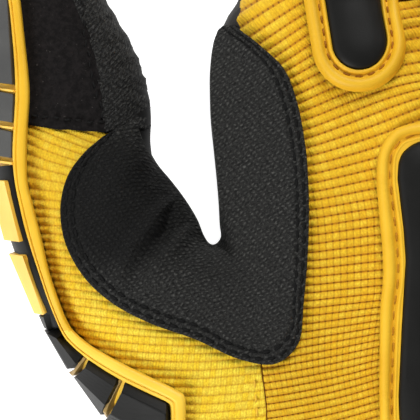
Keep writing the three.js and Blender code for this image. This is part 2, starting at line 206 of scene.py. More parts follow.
def thumb_surface(u, v):
    """u is the section angle in units of 1/4 degree-ish millimetres, v is y."""
    th = np.radians(np.asarray(u, float) / ARC)
    y = np.asarray(v, float)
    xl, xr, zb, zt = columns(THUMB, y)
    c, s, e = np.cos(th), np.sin(th), 2 / THUMB["n"]
    cap = np.clip(y - (THUMB["to"] - THUMB["nose"]), 0, None) / THUMB["nose"]
    k = np.clip(1 - np.clip(cap, 0, 0.999) ** THUMB["n"], 1e-4, 1) ** (1 / THUMB["n"])
    dx = (xr - xl) / 2 * np.sign(c) * np.abs(c) ** e * k
    dz = (zt - zb) / 2 * np.sign(s) * np.abs(s) ** e * k
    cx, cz = (xl + xr) / 2, (zt + zb) / 2
    k0, k1 = np.full(y.shape, 1.0), np.full(y.shape, 1.03)
    v0 = Field(cx + dx * k0, y, False)(cz + dz * k0)
    for _ in range(6):
        v1 = Field(cx + dx * k1, y, False)(cz + dz * k1)
        m = v1 - v0
        m = np.where(np.abs(m) < 1e-7, 1e-7, m)
        step = np.clip(-v1 * (k1 - k0) / m, -0.15, 0.15)
        k0, v0 = k1, v1
        k1 = np.clip(k1 + step, 0.6, 1.8)
    p = np.stack([cx + dx * k1, y, cz + dz * k1], -1)
    return p, normal(p, False)


ARC = 0.30                    # millimetres of thumb guard for each degree


# ------------------------------------------------------------- mesh builders
def metres(p):
    p = np.asarray(p, float).reshape(-1, 3) * 0.001
    p[:, 0] += MOVE[0] * 0.001
    p[:, 1] += MOVE[1] * 0.001
    return p


def mesh_object(name, verts, faces, uv=None, smooth=True):
    """verts in plan millimetres; uv holds one pair for each vertex."""
    faces = np.asarray(faces) if not isinstance(faces, list) else faces
    me = bpy.data.meshes.new(name)
    me.from_pydata(metres(verts).tolist(), [], faces.tolist() if isinstance(faces, np.ndarray) else faces)
    if uv is not None:
        layer = me.uv_layers.new(name="Cloth")
        idx = np.empty(len(me.loops), np.int32)
        me.loops.foreach_get("vertex_index", idx)
        layer.data.foreach_set("uv", np.asarray(uv, np.float32).reshape(-1, 2)[idx].ravel())
    if smooth:
        me.polygons.foreach_set("use_smooth", np.ones(len(me.polygons), bool))
    me.update()
    ob = bpy.data.objects.new(name, me)
    bpy.context.scene.collection.objects.link(ob)
    return ob


def grid_faces(rows, cols, close=False, offset=0):
    c = cols if close else cols - 1
    i, j = np.meshgrid(np.arange(rows - 1), np.arange(c), indexing="ij")
    a, b = i * cols + j, i * cols + (j + 1) % cols
    return np.stack([a, b, b + cols, a + cols], -1).reshape(-1, 4) + offset


def compact(verts, faces, uv=None):
    used = np.unique(faces)
    remap = np.full(len(verts), -1)
    remap[used] = np.arange(len(used))
    return verts[used], remap[faces], (None if uv is None else uv[used])


def finish_piece(ob, material, nodes=()):
    ob.data.materials.clear()
    for m in material if isinstance(material, (list, tuple)) else [material]:
        ob.data.materials.append(m)
    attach(ob, "root")
    if nodes:
        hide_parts(*nodes)
    return ob


def join_parts(parts):
    """Joins (verts, faces) pairs, faces as lists, into one pair."""
    verts, faces, n = [], [], 0
    for v, f in parts:
        v = np.asarray(v).reshape(-1, 3)
        verts.append(v)
        faces += [[int(i) + n for i in q] for q in f]
        n += len(v)
    return np.concatenate(verts), faces


def loop_normals(loop):
    """Outward unit normals of a closed plan loop run counter-clockwise."""
    d = np.roll(loop, -1, 0) - np.roll(loop, 1, 0)
    n = np.stack([d[:, 1], -d[:, 0]], -1)
    return n / np.maximum(np.linalg.norm(n, axis=1, keepdims=True), 1e-9)


def ccw(loop):
    x, y = loop[:, 0], loop[:, 1]
    area = (x * np.roll(y, -1) - np.roll(x, -1) * y).sum()
    return loop if area > 0 else loop[::-1]


def resample(points, step, closed=False):
    p = np.asarray(points, float)
    if closed:
        p = np.vstack([p, p[:1]])
    seg = np.hypot(*np.diff(p, axis=0).T[:2])
    s = np.concatenate([[0], np.cumsum(seg)])
    n = max(3, int(round(s[-1] / step)))
    t = np.linspace(0, s[-1], n + 1)
    q = np.stack([np.interp(t, s, p[:, k]) for k in range(p.shape[1])], -1)
    return q[:-1] if closed else q


def spline(points, count, closed=False):
    """Centripetal Catmull-Rom curve through a few table rows."""
    p = np.asarray(points, float)
    n = len(p)
    if closed:
        ext = np.vstack([p[-1:], p, p[:2]])
        segs = n
    else:
        ext = np.vstack([2 * p[:1] - p[1:2], p, 2 * p[-1:] - p[-2:-1]])
        segs = n - 1
    out = []
    per = max(2, count // segs)
    for k in range(segs):
        p0, p1, p2, p3 = ext[k:k + 4]
        t0 = 0
        t1 = t0 + max(np.linalg.norm(p1 - p0), 1e-6) ** 0.5
        t2 = t1 + max(np.linalg.norm(p2 - p1), 1e-6) ** 0.5
        t3 = t2 + max(np.linalg.norm(p3 - p2), 1e-6) ** 0.5
        t = np.linspace(t1, t2, per, endpoint=False)[:, None]
        a1 = (t1 - t) / (t1 - t0) * p0 + (t - t0) / (t1 - t0) * p1
        a2 = (t2 - t) / (t2 - t1) * p1 + (t - t1) / (t2 - t1) * p2
        a3 = (t3 - t) / (t3 - t2) * p2 + (t - t2) / (t3 - t2) * p3
        b1 = (t2 - t) / (t2 - t0) * a1 + (t - t0) / (t2 - t0) * a2
        b2 = (t3 - t) / (t3 - t1) * a2 + (t - t1) / (t3 - t1) * a3
        out.append((t2 - t) / (t2 - t1) * b1 + (t - t1) / (t2 - t1) * b2)
    if not closed:
        out.append(p[-1:])
    return np.vstack(out)


def fill_region(outer, holes, step):
    """Triangles inside outer and outside the holes, all plan loops."""
    pts, edges = [], []
    for loop in [outer, *holes]:
        k = len(pts)
        pts += [tuple(q) for q in loop]
        edges += [(k + i, k + (i + 1) % len(loop)) for i in range(len(loop))]
    lo, hi = outer.min(0), outer.max(0)
    gx, gy = np.meshgrid(np.arange(lo[0] + step * 0.7, hi[0], step), np.arange(lo[1] + step * 0.7, hi[1], step))
    q = np.stack([gx.ravel(), gy.ravel()], -1)
    keep = inside(q, outer, step * 0.45)
    for h in holes:
        keep &= ~inside(q, h, -step * 0.45)
    pts += [tuple(v) for v in q[keep]]
    # 1: triangles of the whole region inside the constraints
    vs, _, fs, *_ = delaunay_2d_cdt([Vector(v) for v in pts], edges, [], 0, 1e-6)
    vs = np.array([tuple(v) for v in vs])
    fs = np.array(fs)
    c = vs[fs].mean(1)
    ok = inside(c, outer, 0)
    for h in holes:
        ok &= ~inside(c, h, 0)
    fs = fs[ok]
    a, b, d = vs[fs[:, 0]], vs[fs[:, 1]], vs[fs[:, 2]]
    area = (b[:, 0] - a[:, 0]) * (d[:, 1] - a[:, 1]) - (b[:, 1] - a[:, 1]) * (d[:, 0] - a[:, 0])
    fs[area < 0] = fs[area < 0][:, ::-1]
    return vs, fs[np.abs(area) > 1e-9]


def inside(q, loop, margin):
    x, y = q[:, 0][:, None], q[:, 1][:, None]
    a, b = loop, np.roll(loop, -1, 0)
    cross = ((a[:, 1] > y) != (b[:, 1] > y)) & (
        x < (b[:, 0] - a[:, 0]) * (y - a[:, 1]) / (b[:, 1] - a[:, 1] + 1e-12) + a[:, 0])
    res = cross.sum(1) % 2 == 1
    if margin:
        e = b - a
        t = np.clip(((x - a[:, 0]) * e[:, 0] + (y - a[:, 1]) * e[:, 1]) / np.maximum((e * e).sum(1), 1e-12), 0, 1)
        d = np.hypot(x - a[:, 0] - t * e[:, 0], y - a[:, 1] - t * e[:, 1]).min(1)
        res = (res & (d > margin)) if margin > 0 else (res | (d < -margin))
    return res


def moulding(surface, outer, holes, height, edge, hole_edge=None, step=1.0, crown=None):
    """A moulded plate on a surface. Its flat top runs between the loops, and
    each loop gets a profile: edge lists (outwards, height) from the top down."""
    outer = ccw(np.asarray(outer))
    parts = []
    vs, fs = fill_region(outer, holes, step)
    p, n = surface(vs[:, 0], vs[:, 1])
    h = np.full(len(vs), height, float)
    if crown is not None:
        h = h + crown(vs[:, 0], vs[:, 1])
    parts.append((p + n * h[:, None], fs.tolist()))
    for loop, prof, sign in [(outer, edge, 1)] + [(ccw(np.asarray(l)), hole_edge or edge, -1) for l in holes]:
        m = loop_normals(loop) * sign
        rings = []
        for w, hh in prof:
            q = loop + m * w
            pp, nn = surface(q[:, 0], q[:, 1])
            ht = np.full(len(q), hh, float)
            if crown is not None and w == 0:
                ht = ht + crown(q[:, 0], q[:, 1])
            rings.append(pp + nn * ht[:, None])
        v = np.stack(rings)
        f = grid_faces(len(prof), len(loop), True)
        if sign > 0:
            f = f[:, ::-1]
        parts.append((v.reshape(-1, 3), f.tolist()))
    return join_parts(parts)


def weld(ob, dist=0.00002):
    bm = bmesh.new()
    bm.from_mesh(ob.data)
    bmesh.ops.remove_doubles(bm, verts=bm.verts, dist=dist)
    bm.to_mesh(ob.data)
    bm.free()
    return ob


def slot_loop(foot, head, w0, w1, inset, step=0.5, waist=None):
    """Counter-clockwise outline with round ends, like a moulded pad."""
    foot, head = np.array(foot, float), np.array(head, float)
    d = head - foot
    L = np.hypot(*d)
    u = d / L
    s = np.array([u[1], -u[0]])
    r0, r1 = w0 / 2, w1 / 2
    pts = []
    for c, r, a0 in ((head - u * r1, r1, 0.0), (foot + u * r0, r0, math.pi)):
        for t in np.linspace(a0, a0 + math.pi, 25):
            pts.append(c + s * math.cos(t) * (r - inset) + u * math.sin(t) * (r - inset))
    loop = resample(np.array(pts), step, True)
    if waist is not None:
        loop = waist(loop, inset)
    return ccw(loop)


def rounded_loop(corners, inset=0.0, step=0.5):
    c = np.array([q[:2] for q in corners], float)
    mid = c.mean(0)
    d = c - mid
    c = c - d / np.linalg.norm(d, axis=1, keepdims=True) * inset * 1.3
    pts = []
    n = len(c)
    for i in range(n):
        a, b, r = c[i - 1], c[(i + 1) % n], corners[i][2]
        la, lb = np.linalg.norm(a - c[i]), np.linalg.norm(b - c[i])
        k = min(r * 0.8, la * 0.4, lb * 0.4)
        p, q = c[i] + (a - c[i]) / la * k, c[i] + (b - c[i]) / lb * k
        for t in np.linspace(0, 1, 16):
            pts.append((1 - t) ** 2 * p + 2 * t * (1 - t) * c[i] + t * t * q)
    return ccw(resample(np.array(pts), step, True))


def stitches(points, normals, length=2.1, gap=0.45, radius=0.27, lift=0.12, wobble=0.0):
    """Separate lying stitches along a line of surface points, as one mesh."""
    p = np.asarray(points)
    seg = np.linalg.norm(np.diff(p, axis=0), axis=1)
    s = np.concatenate([[0], np.cumsum(seg)])
    pitch = length + gap
    parts = []
    k, sides = 0, 6
    while (k + 1) * pitch < s[-1]:
        t = k * pitch + gap / 2 + np.linspace(0, 1, 7) * length
        c = np.stack([np.interp(t, s, p[:, a]) for a in range(3)], -1)
        nn = np.stack([np.interp(t, s, normals[:, a]) for a in range(3)], -1)
        nn /= np.linalg.norm(nn, axis=1, keepdims=True)
        tan = np.gradient(c, axis=0)
        tan /= np.linalg.norm(tan, axis=1, keepdims=True)
        side = np.cross(tan, nn)
        if wobble:
            c = c + side * (RNG.normal(0, wobble))
        x = np.linspace(-1, 1, 7)
        r = radius * np.sqrt(np.clip(1 - np.abs(x) ** 3.2, 0.02, 1))
        up = lift - 0.55 * np.abs(x) ** 2.5 * radius * 2
        a = np.linspace(0, 2 * math.pi, sides, endpoint=False)
        ring = (c + nn * up[:, None])[:, None] + side[:, None] * (np.cos(a) * 1.1)[None, :, None] * r[:, None, None] \
            + nn[:, None] * np.sin(a)[None, :, None] * r[:, None, None]
        f = grid_faces(7, sides, True).tolist() + [list(range(sides))[::-1], list(range(6 * sides, 7 * sides))]
        parts.append((ring.reshape(-1, 3), f))
        k += 1
    return join_parts(parts)


# ------------------------------------------------------------------ materials
class Graph:
    def __init__(self, name):
        self.m = bpy.data.materials.new(name)
        self.m.use_nodes = True
        self.t = self.m.node_tree
        self.t.nodes.clear()
        self.out = self.node("ShaderNodeOutputMaterial")
        self.b = self.node("ShaderNodeBsdfPrincipled")
        self.link(self.b.outputs[0], self.out.inputs[0])

    def node(self, kind, **kw):
        n = self.t.nodes.new(kind)
        for k, v in kw.items():
            setattr(n, k, v)
        return n

    def link(self, a, b):
        self.t.links.new(a, b)

    def put(self, socket, v):
        if hasattr(v, "is_output") or isinstance(v, bpy.types.NodeSocket):
            self.link(v, socket)
        else:
            socket.default_value = v

    def coord(self, which="Object", scale=(1, 1, 1)):
        c = self.node("ShaderNodeTexCoord").outputs[which]
        m = self.node("ShaderNodeMapping")
        self.link(c, m.inputs[0])
        m.inputs["Scale"].default_value = scale
        return m.outputs[0]

    def uv(self):
        return self.node("ShaderNodeUVMap", uv_map="Cloth").outputs[0]

    def split(self, vec):
        s = self.node("ShaderNodeSeparateXYZ")
        self.link(vec, s.inputs[0])
        return s.outputs

    def join(self, x, y, z=0.0):
        c = self.node("ShaderNodeCombineXYZ")
        for k, v in enumerate((x, y, z)):
            self.put(c.inputs[k], v)
        return c.outputs[0]

    def math(self, op, a, b=None, clamp=False):
        n = self.node("ShaderNodeMath", operation=op, use_clamp=clamp)
        self.put(n.inputs[0], a)
        if b is not None:
            self.put(n.inputs[1], b)
        return n.outputs[0]

    def mix(self, fac, a, b, blend="MIX"):
        n = self.node("ShaderNodeMix", data_type="RGBA", blend_type=blend)
        self.put(n.inputs["Factor"], fac)
        self.put(n.inputs[6], a)
        self.put(n.inputs[7], b)
        return n.outputs[2]

    def noise(self, vec, scale, detail=2.0, rough=0.5):
        n = self.node("ShaderNodeTexNoise")
        self.link(vec, n.inputs["Vector"])
        n.inputs["Scale"].default_value = scale
        n.inputs["Detail"].default_value = detail
        n.inputs["Roughness"].default_value = rough
        return n.outputs[0]

    def voronoi(self, vec, scale, feature="F1", out="Distance"):
        n = self.node("ShaderNodeTexVoronoi", feature=feature)
        self.link(vec, n.inputs["Vector"])
        n.inputs["Scale"].default_value = scale
        return n.outputs[out]

    def white(self, vec):
        n = self.node("ShaderNodeTexWhiteNoise", noise_dimensions="2D")
        self.link(vec, n.inputs["Vector"])
        return n.outputs["Value"]

    def span(self, v, a, b, c=0.0, d=1.0):
        n = self.node("ShaderNodeMapRange", clamp=True, interpolation_type="SMOOTHSTEP")
        self.put(n.inputs["Value"], v)
        for k, w in (("From Min", a), ("From Max", b), ("To Min", c), ("To Max", d)):
            n.inputs[k].default_value = w
        return n.outputs[0]

    def bump(self, height, strength, distance, normal=None):
        n = self.node("ShaderNodeBump")
        self.put(n.inputs["Height"], height)
        n.inputs["Strength"].default_value = strength
        n.inputs["Distance"].default_value = distance
        if normal is not None:
            self.link(normal, n.inputs["Normal"])
        return n.outputs[0]

    def surface(self, color, rough, normal=None, spec=0.5, **kw):
        self.put(self.b.inputs["Base Color"], color)
        self.put(self.b.inputs["Roughness"], rough)
        self.b.inputs["Specular IOR Level"].default_value = spec
        if normal is not None:
            self.link(normal, self.b.inputs["Normal"])
        for k, v in kw.items():
            self.b.inputs[k.replace("_", " ")].default_value = v
        return self.m


def rgba(r, g, b):
    """A colour given the way a screen shows it, 0-255."""
    f = lambda c: ((c / 255 + 0.055) / 1.055) ** 2.4 if c > 10 else c / 255 / 12.92
    return (f(r), f(g), f(b), 1.0)


def ribbed_fabric(name="ribbed_fabric", tones=((246, 213, 52), (240, 197, 28)), shade=0.0, dark=1.0):
    g = Graph(name)
    u, v, _ = g.split(g.uv())
    _, oy, _ = g.split(g.coord("Object"))
    fu, fv = g.math("FRACT", u), g.math("FRACT", v)
    du = g.math("ABSOLUTE", g.math("SUBTRACT", fu, 0.5))      # 0.5 between cells
    dv = g.math("ABSOLUTE", g.math("SUBTRACT", fv, 0.5))      # 0.5 in the grooves
    # groove mask, for painted shade in the grooves
    groove = g.span(dv, 0.30, 0.47)
    # mask for painted shade on the lower flank of each rib
    under = g.span(fv, 0.52, 0.12)                            # lower flank of a rib
    gap = g.span(du, 0.30, 0.5)
    # cells stand out on the middle of the back, less above and below
    square = g.math("MULTIPLY", g.span(oy, 0.008, -0.006, 0.25, 1.0), g.span(oy, -0.044, -0.032, 0.3, 1.0))
    cell = g.white(g.join(g.math("FLOOR", u), g.math("FLOOR", v)))
    fine = g.noise(g.join(g.math("MULTIPLY", u, 3.0), g.math("MULTIPLY", v, 4.0)), 1.0, 3.0, 0.6)
    # painted shade: the fabric darker towards the finger tips, by the amount shade
    painted_upper_shade = g.math("MULTIPLY", g.span(oy, -0.026, -0.004), shade)
    yarns = g.noise(g.join(g.math("MULTIPLY", u, 1.3), g.math("MULTIPLY", v, 0.9)), 1.0, 2.0, 0.5)
    twist = g.math("SINE", g.math("ADD", g.math("MULTIPLY", u, 12.566), g.math("ADD", g.math("MULTIPLY", fv, 2.5), g.math("MULTIPLY", yarns, 14.0))))
    light, mid, gold, brown = rgba(*tones[0]), rgba(*tones[1]), rgba(190, 128, 10), rgba(116, 68, 6)
    base = g.mix(g.span(cell, 0.0, 1.0), mid, light)
    base = g.mix(g.math("MULTIPLY", g.span(fine, 0.40, 0.62, 1.0, 0.0), 0.42), base, rgba(208, 152, 18))
    base = g.mix(g.math("MULTIPLY", g.span(yarns, 0.40, 0.60, 1.0, 0.0), 0.22), base, rgba(206, 148, 14))
    base = g.mix(g.math("MULTIPLY", g.span(twist, 0.2, 1.0), 0.20), base, gold)
    base = g.mix(g.math("MULTIPLY", g.math("MULTIPLY", gap, square), 0.5 * dark), base, rgba(176, 118, 10))
    # painted shade towards the finger tips
    base = g.mix(painted_upper_shade, base, rgba(212, 160, 22))
    # painted shade: the lower flank of each rib darker, as if lit from above
    base = g.mix(g.math("MULTIPLY", under, 0.45 * dark), base, rgba(212, 158, 18))
    # painted shade: the grooves between ribs darkened to gold
    base = g.mix(g.math("MULTIPLY", groove, 0.9 * dark), base, gold)
    # painted shade: dark dots in the pits where the grooves cross the gaps between cells
    spot = g.math("MULTIPLY", g.span(dv, 0.36, 0.47), g.span(g.math("ADD", du, g.math("MULTIPLY", fine, 0.18)), 0.36, 0.54))
    base = g.mix(g.math("MULTIPLY", spot, 0.85 * dark * dark), base, brown)
    height = g.math("ADD", g.math("MULTIPLY", g.math("MULTIPLY", gap, square), -0.35 * dark),
                    g.math("ADD", g.math("MULTIPLY", twist, 0.18), g.math("MULTIPLY", fine, 1.0)))
    n = g.bump(height, 0.9, 0.00020)
    return g.surface(base, 0.75, n, 0.25, Sheen_Weight=0.10, Sheen_Roughness=0.5)


def grain_fabric(name="grain_fabric", nap=True):
    """Black reinforcement with coarse grain in slanted rows. The nap lies
    flat and dark on the ball of the thumb."""
    g = Graph(name)
    u, v, _ = g.split(g.uv())
    wob = g.noise(g.join(u, v), 0.8, 2.0, 0.5)
    vr = g.math("ADD", g.math("ADD", v, g.math("MULTIPLY", wob, 1.2)), g.math("MULTIPLY", g.noise(g.join(u, v), 2.6, 2.0, 0.5), 0.7))
    ur = g.math("ADD", u, g.math("MULTIPLY", g.math("FLOOR", vr), 0.37))
    rows = g.math("ABSOLUTE", g.math("SUBTRACT", g.math("FRACT", vr), 0.5))
    crest = g.span(rows, 0.10, 0.48, 1.0, 0.0)
    knots = g.math("ABSOLUTE", g.math("SUBTRACT", g.math("FRACT", g.math("MULTIPLY", ur, 0.7)), 0.5))
    knot = g.span(knots, 0.15, 0.48, 1.0, 0.0)
    speck = g.noise(g.join(g.math("MULTIPLY", u, 1.1), g.math("MULTIPLY", v, 1.7)), 1.0, 5.0, 0.72)
    fleck = g.span(speck, 0.46, 0.66)
    ox, oy, _ = g.split(g.coord("Object"))
    if nap:
        dx = g.math("DIVIDE", g.math("SUBTRACT", ox, (-21.0 + MOVE[0]) * 0.001), 0.017)
        dy = g.math("DIVIDE", g.math("SUBTRACT", oy, (8.0 + MOVE[1]) * 0.001), 0.014)
        r2 = g.math("ADD", g.math("MULTIPLY", dx, dx), g.math("MULTIPLY", dy, dy))
        flat = g.span(g.math("ADD", r2, g.math("MULTIPLY", wob, 0.4)), 0.5, 1.9)     # 0 where the nap lies flat
    else:
        flat = g.math("ADD", g.math("MULTIPLY", g.noise(g.coord("Object"), 220.0, 2.0, 0.5), 0.9), 0.2, True)
    mask = g.math("MULTIPLY", g.math("MULTIPLY", g.math("ADD", g.math("MULTIPLY", g.math("MULTIPLY", crest, knot), 0.9), 0.1), g.math("ADD", g.math("MULTIPLY", fleck, 0.75), 0.25)), g.math("ADD", g.math("MULTIPLY", flat, 0.85), 0.15))
    ground = g.mix(flat, rgba(5, 5, 5), rgba(38, 38, 37)) if nap else g.mix(flat, rgba(14, 14, 14), rgba(20, 20, 20))
    base = g.mix(g.math("MULTIPLY", mask, 0.9 if nap else 0.45), ground, rgba(98, 98, 95))
    pit = g.span(speck, 0.38, 0.52, 1.0, 0.0)
    base = g.mix(g.math("MULTIPLY", pit, 0.7 if nap else 0.5), base, rgba(9, 9, 9))
    if not nap:
        base = g.mix(g.math("MULTIPLY", fleck, 0.35), base, rgba(90, 90, 88))
    height = g.math("ADD", g.math("MULTIPLY", g.math("MULTIPLY", crest, knot), 1.3), g.math("MULTIPLY", speck, 1.5))
    height = g.math("MULTIPLY", height, g.math("ADD", g.math("MULTIPLY", flat, 0.6), 0.4))
    n = g.bump(height, 1.0 if nap else 0.6, 0.00045)
    return g.surface(base, 0.8, n, 0.22)


def suede(name="suede"):
    g = Graph(name)
    o = g.coord("Object")
    big = g.noise(o, 160.0, 3.0, 0.5)
    fine = g.noise(o, 2600.0, 4.0, 0.7)
    base = g.mix(g.span(g.noise(o, 900.0, 3.0, 0.7), 0.35, 0.68), rgba(13, 11, 11), rgba(27, 24, 24))
    lint = g.span(g.noise(o, 1500.0, 1.0, 0.5), 0.72, 0.80)
    base = g.mix(g.math("MULTIPLY", lint, 0.22), base, rgba(110, 104, 100))
    n = g.bump(g.math("ADD", g.math("MULTIPLY", fine, 1.0), g.math("MULTIPLY", big, 1.2)), 0.6, 0.00015)
    return g.surface(base, 0.95, n, 0.08, Sheen_Weight=0.05, Sheen_Roughness=0.6)


def leather(name="leather"):
    g = Graph(name)
    o = g.coord("Object")
    cells = g.voronoi(o, 1400.0, "F1")
    fine = g.noise(o, 900.0, 3.0, 0.6)
    base = g.mix(fine, rgba(33, 31, 29), rgba(47, 44, 41))
    n = g.bump(g.math("ADD", g.math("MULTIPLY", cells, 0.8), fine), 0.45, 0.00012)
    return g.surface(base, 0.68, n, 0.3)


def rubber(name, dark, light, rough, spec=0.4, grain=0.4):
    g = Graph(name)
    o = g.coord("Object")
    big = g.noise(o, 90.0, 3.0, 0.5)
    fine = g.noise(o, 3200.0, 3.0, 0.6)
    base = g.mix(g.span(big, 0.3, 0.7), rgba(*dark), rgba(*light))
    n = g.bump(fine, grain, 0.00006)
    return g.surface(base, rough, n, spec)


def plain(name, color, rough, spec=0.3):
    g = Graph(name)
    o = g.coord("Object")
    f = g.noise(o, 1800.0, 2.0, 0.5)
    return g.surface(g.mix(f, rgba(*[c * 0.85 for c in color]), rgba(*color)), rough, g.bump(f, 0.3, 0.0001), spec)


MAT = dict(
    # the thumb base fabric has brighter tones than the back panel, which is painted light, and painted shade towards
    # the tips
    ribs=ribbed_fabric(), ribs_thumb_painted_light=ribbed_fabric("ribbed_fabric_thumb_painted_light", ((255, 237, 76), (255, 225, 46)), 0.35, 0.5), grain=grain_fabric(), side=grain_fabric("side_fabric", False), suede=suede(), leather=leather(),
    yellow=rubber("yellow_rubber", (224, 172, 33), (236, 188, 46), 0.5, 0.3),
    # a lighter copy of the yellow rubber: painted light, for the thumb pads and the thin ribs beside the upper blocks
    yellow_painted_lighter=rubber("yellow_rubber_painted_lighter", (238, 188, 66), (246, 200, 82), 0.45, 0.35),
    # a lighter copy of the yellow rubber for the thumb guard's lower part, which faces the light: painted light
    yellow_painted_lit_lower=rubber("yellow_rubber_painted_lit_lower", (244, 198, 60), (252, 210, 74), 0.46, 0.35),
    black=rubber("black_rubber", (19, 19, 18), (24, 24, 23), 0.5, 0.16),
    # the black rubber lightened to grey: a painted sheen, the reflection of light on the left-facing blocks
    grey_painted_sheen=rubber("black_rubber_painted_sheen", (58, 58, 57), (70, 70, 68), 0.45, 0.4),
    thread=plain("thread", (17, 17, 17), 0.75, 0.15),
    gold_thread=plain("gold_thread", (176, 112, 18), 0.6), pale_thread=plain("pale_thread", (206, 146, 30), 0.6),
    yellow_thread=plain("yellow_thread", (244, 196, 60), 0.6),
    fold=plain("fold_black", (19, 19, 19), 0.7, 0.2), seam=plain("seam_gold", (140, 88, 12), 0.8),
    tan=rubber("tan_rubber", (150, 122, 66), (176, 144, 80), 0.5, 0.3),
    lining=plain("lining", (58, 57, 56), 0.95, 0.1),
    cuff=plain("cuff_knit", (36, 36, 38), 0.9, 0.15),
)


# -------------------------------------------------------- ribbed stretch fabric
def ease(t):
    t = np.clip(t, 0, 1)
    return t * t * (3 - 2 * t)


def tilt_back(x, y):
    base = np.interp(y, [-97, -60, -44, -34, -28, -20, -12, -6, 0, 8, 12, 16, 20, 24, 28, 32, 38, 46, 56, 74],
                     [0, 2, 9, 12.5, 12.5, 10, 6.5, 6, 8, 10, 12.5, 14.5, 18, 20.5, 24, 29, 34, 32, 18, 0])
    base = base + np.interp(y, [-44, -28, -18, -10], [0.3, 0.5, 0.25, 0]) * (np.clip(x, 8, 41) - 21)
    low = np.interp(x, [41, 62], [1, 0])
    high = np.interp(x, [19, 30, 38, 48, 60], [1, 0.6, 0.36, 0.05, 0])
    w = ease((y - 24) / 10)
    return base * (low * (1 - w) + high * w) - 6 * ease((x - 46) / 16) * ease((y + 20) / 50)


def tilt_thumb(x, y):
    up = np.interp(y, [-14, -6, 2, 8, 10, 12, 14, 16, 18, 20, 22, 26], [-6, -3, 0, -2, -5, -9, -13, -16.5, -19, -21, -22, -23])
    down = np.interp(x, [-45, -24, -20, -12, -6, -2, 2, 10], [-8, -6, -4, -2, 0, 3, 6, 7])
    w = ease((y + 19) / 5)
    low = np.interp(y, [-75, -45], [0.2, 1])
    return np.where(y < -14, down * low * (1 - w) - 6 * w, up) if np.ndim(y) else 0


class Ribs:
    """Rib lines as curves that follow a slope field from one column."""

    def __init__(self, x0, tilt, pitch, c0, c1, xa, xb, seed):
        self.x0, self.xa, self.tilt = x0, xa, tilt
        self.xs = np.arange(xa, xb + 1.5, 1.0)
        c = [c0]
        r = np.random.default_rng(seed)
        while c[-1] < c1:
            c.append(c[-1] + float(np.interp(c[-1], *pitch)) * (1 + r.normal(0, 0.018)))
        self.c = np.array(c)

    def rows(self, y0, y1, dense):
        """Row values between two rib lines: c and rib phase."""
        out = []
        for k in range(len(self.c) - 1):
            a, b = self.c[k], self.c[k + 1]
            if b <= y0 or a >= y1:
                continue
            ph = [0, 0.055, 0.16, 0.33, 0.5, 0.67, 0.84, 0.945] if dense[0] < (a + b) / 2 < dense[1] else [0, 0.12, 0.5, 0.88]
            out += [(a + p * (b - a), k + p) for p in ph if y0 <= a + p * (b - a) <= y1]
        if out[-1][0] < y1 - 1e-6:
            out.append((y1, math.ceil(out[-1][1])))
        return np.array(out)

    def curves(self, c):
        i0 = int(round(self.x0 - self.xa))
        Y = np.zeros((len(c), len(self.xs)))
        Y[:, i0] = c
        for step in (1, -1):
            i = i0
            while 0 <= i + step < len(self.xs):
                x = self.xs[i]
                y = Y[:, i]
                m = np.tan(np.radians(self.tilt(np.full_like(y, x), y)))
                m = np.tan(np.radians(self.tilt(np.full_like(y, x + step / 2), y + m * step / 2)))
                Y[:, i + step] = y + m * step
                i += step
        return Y

    def at(self, Y, X):
        f = np.clip(X - self.xa, 0, len(self.xs) - 1.001)
        i = f.astype(int)
        r = np.arange(len(Y))[:, None]
        t = f - i
        return Y[r, i] * (1 - t) + Y[r, i + 1] * t


def wale(x, y, tilt, x0, pitch):
    """Column phase: lines at right angles to the ribs."""
    ys = np.arange(-100, 140, 1.0)
    s = np.concatenate([[0], np.cumsum(np.tan(np.radians(tilt(np.full(len(ys), x0), ys))))[:-1]])
    s -= np.interp(0, ys, s)
    return (x + np.interp(y, ys, s)) / np.interp(y, *pitch)


def rib_profile(v):
    f = v - np.floor(v)
    return ((1 - np.cos(2 * np.pi * f)) / 2) ** 0.8


def rib_sheet(name, ribs, y0, y1, dense, xfun, s, wales, amp=0.62, fold=(True, True), ends=(True, True), lift=None, node=None):
    rows = ribs.rows(y0, y1, dense)
    curve = ribs.curves(rows[:, 0])
    X = np.broadcast_to(s, (len(rows), len(s))).copy() * 20 + 10
    Y = ribs.at(curve, X)
    for _ in range(6):
        X = xfun(s[None, :], Y)
        Y = ribs.at(curve, X)
    P = np.stack([X, Y, top(X, Y)], -1)
    N = normal(P)
    V = np.broadcast_to(rows[:, 1][:, None], X.shape)
    U = wale(X, Y, ribs.tilt, ribs.x0, wales)
    cell = np.abs(np.sin(np.pi * U)) ** 0.5
    prof = rib_profile(V)
    h = -amp * (1 - prof) - (0.05 + 0.05 * ease((18 - Y) / 14)) * (1 - cell) * (0.3 + 0.7 * prof)
    if lift is not None:
        h = h + lift(X, Y)
    P = P + N * h[..., None]
    UV = np.stack([U, V], -1)
    if fold[0]:
        P = np.concatenate([(P[:, :1] - N[:, :1] * 1.0), P], 1)
        UV = np.concatenate([UV[:, :1], UV], 1)
    if fold[1]:
        P = np.concatenate([P, (P[:, -1:] - N[:, -1:] * 1.0)], 1)
        UV = np.concatenate([UV, UV[:, -1:]], 1)
    faces = grid_faces(P.shape[0], P.shape[1])
    return P.reshape(-1, 3), faces, UV.reshape(-1, 2)


def cosine(n, a=0.0, b=1.0):
    t = np.linspace(a, b, n)
    return t


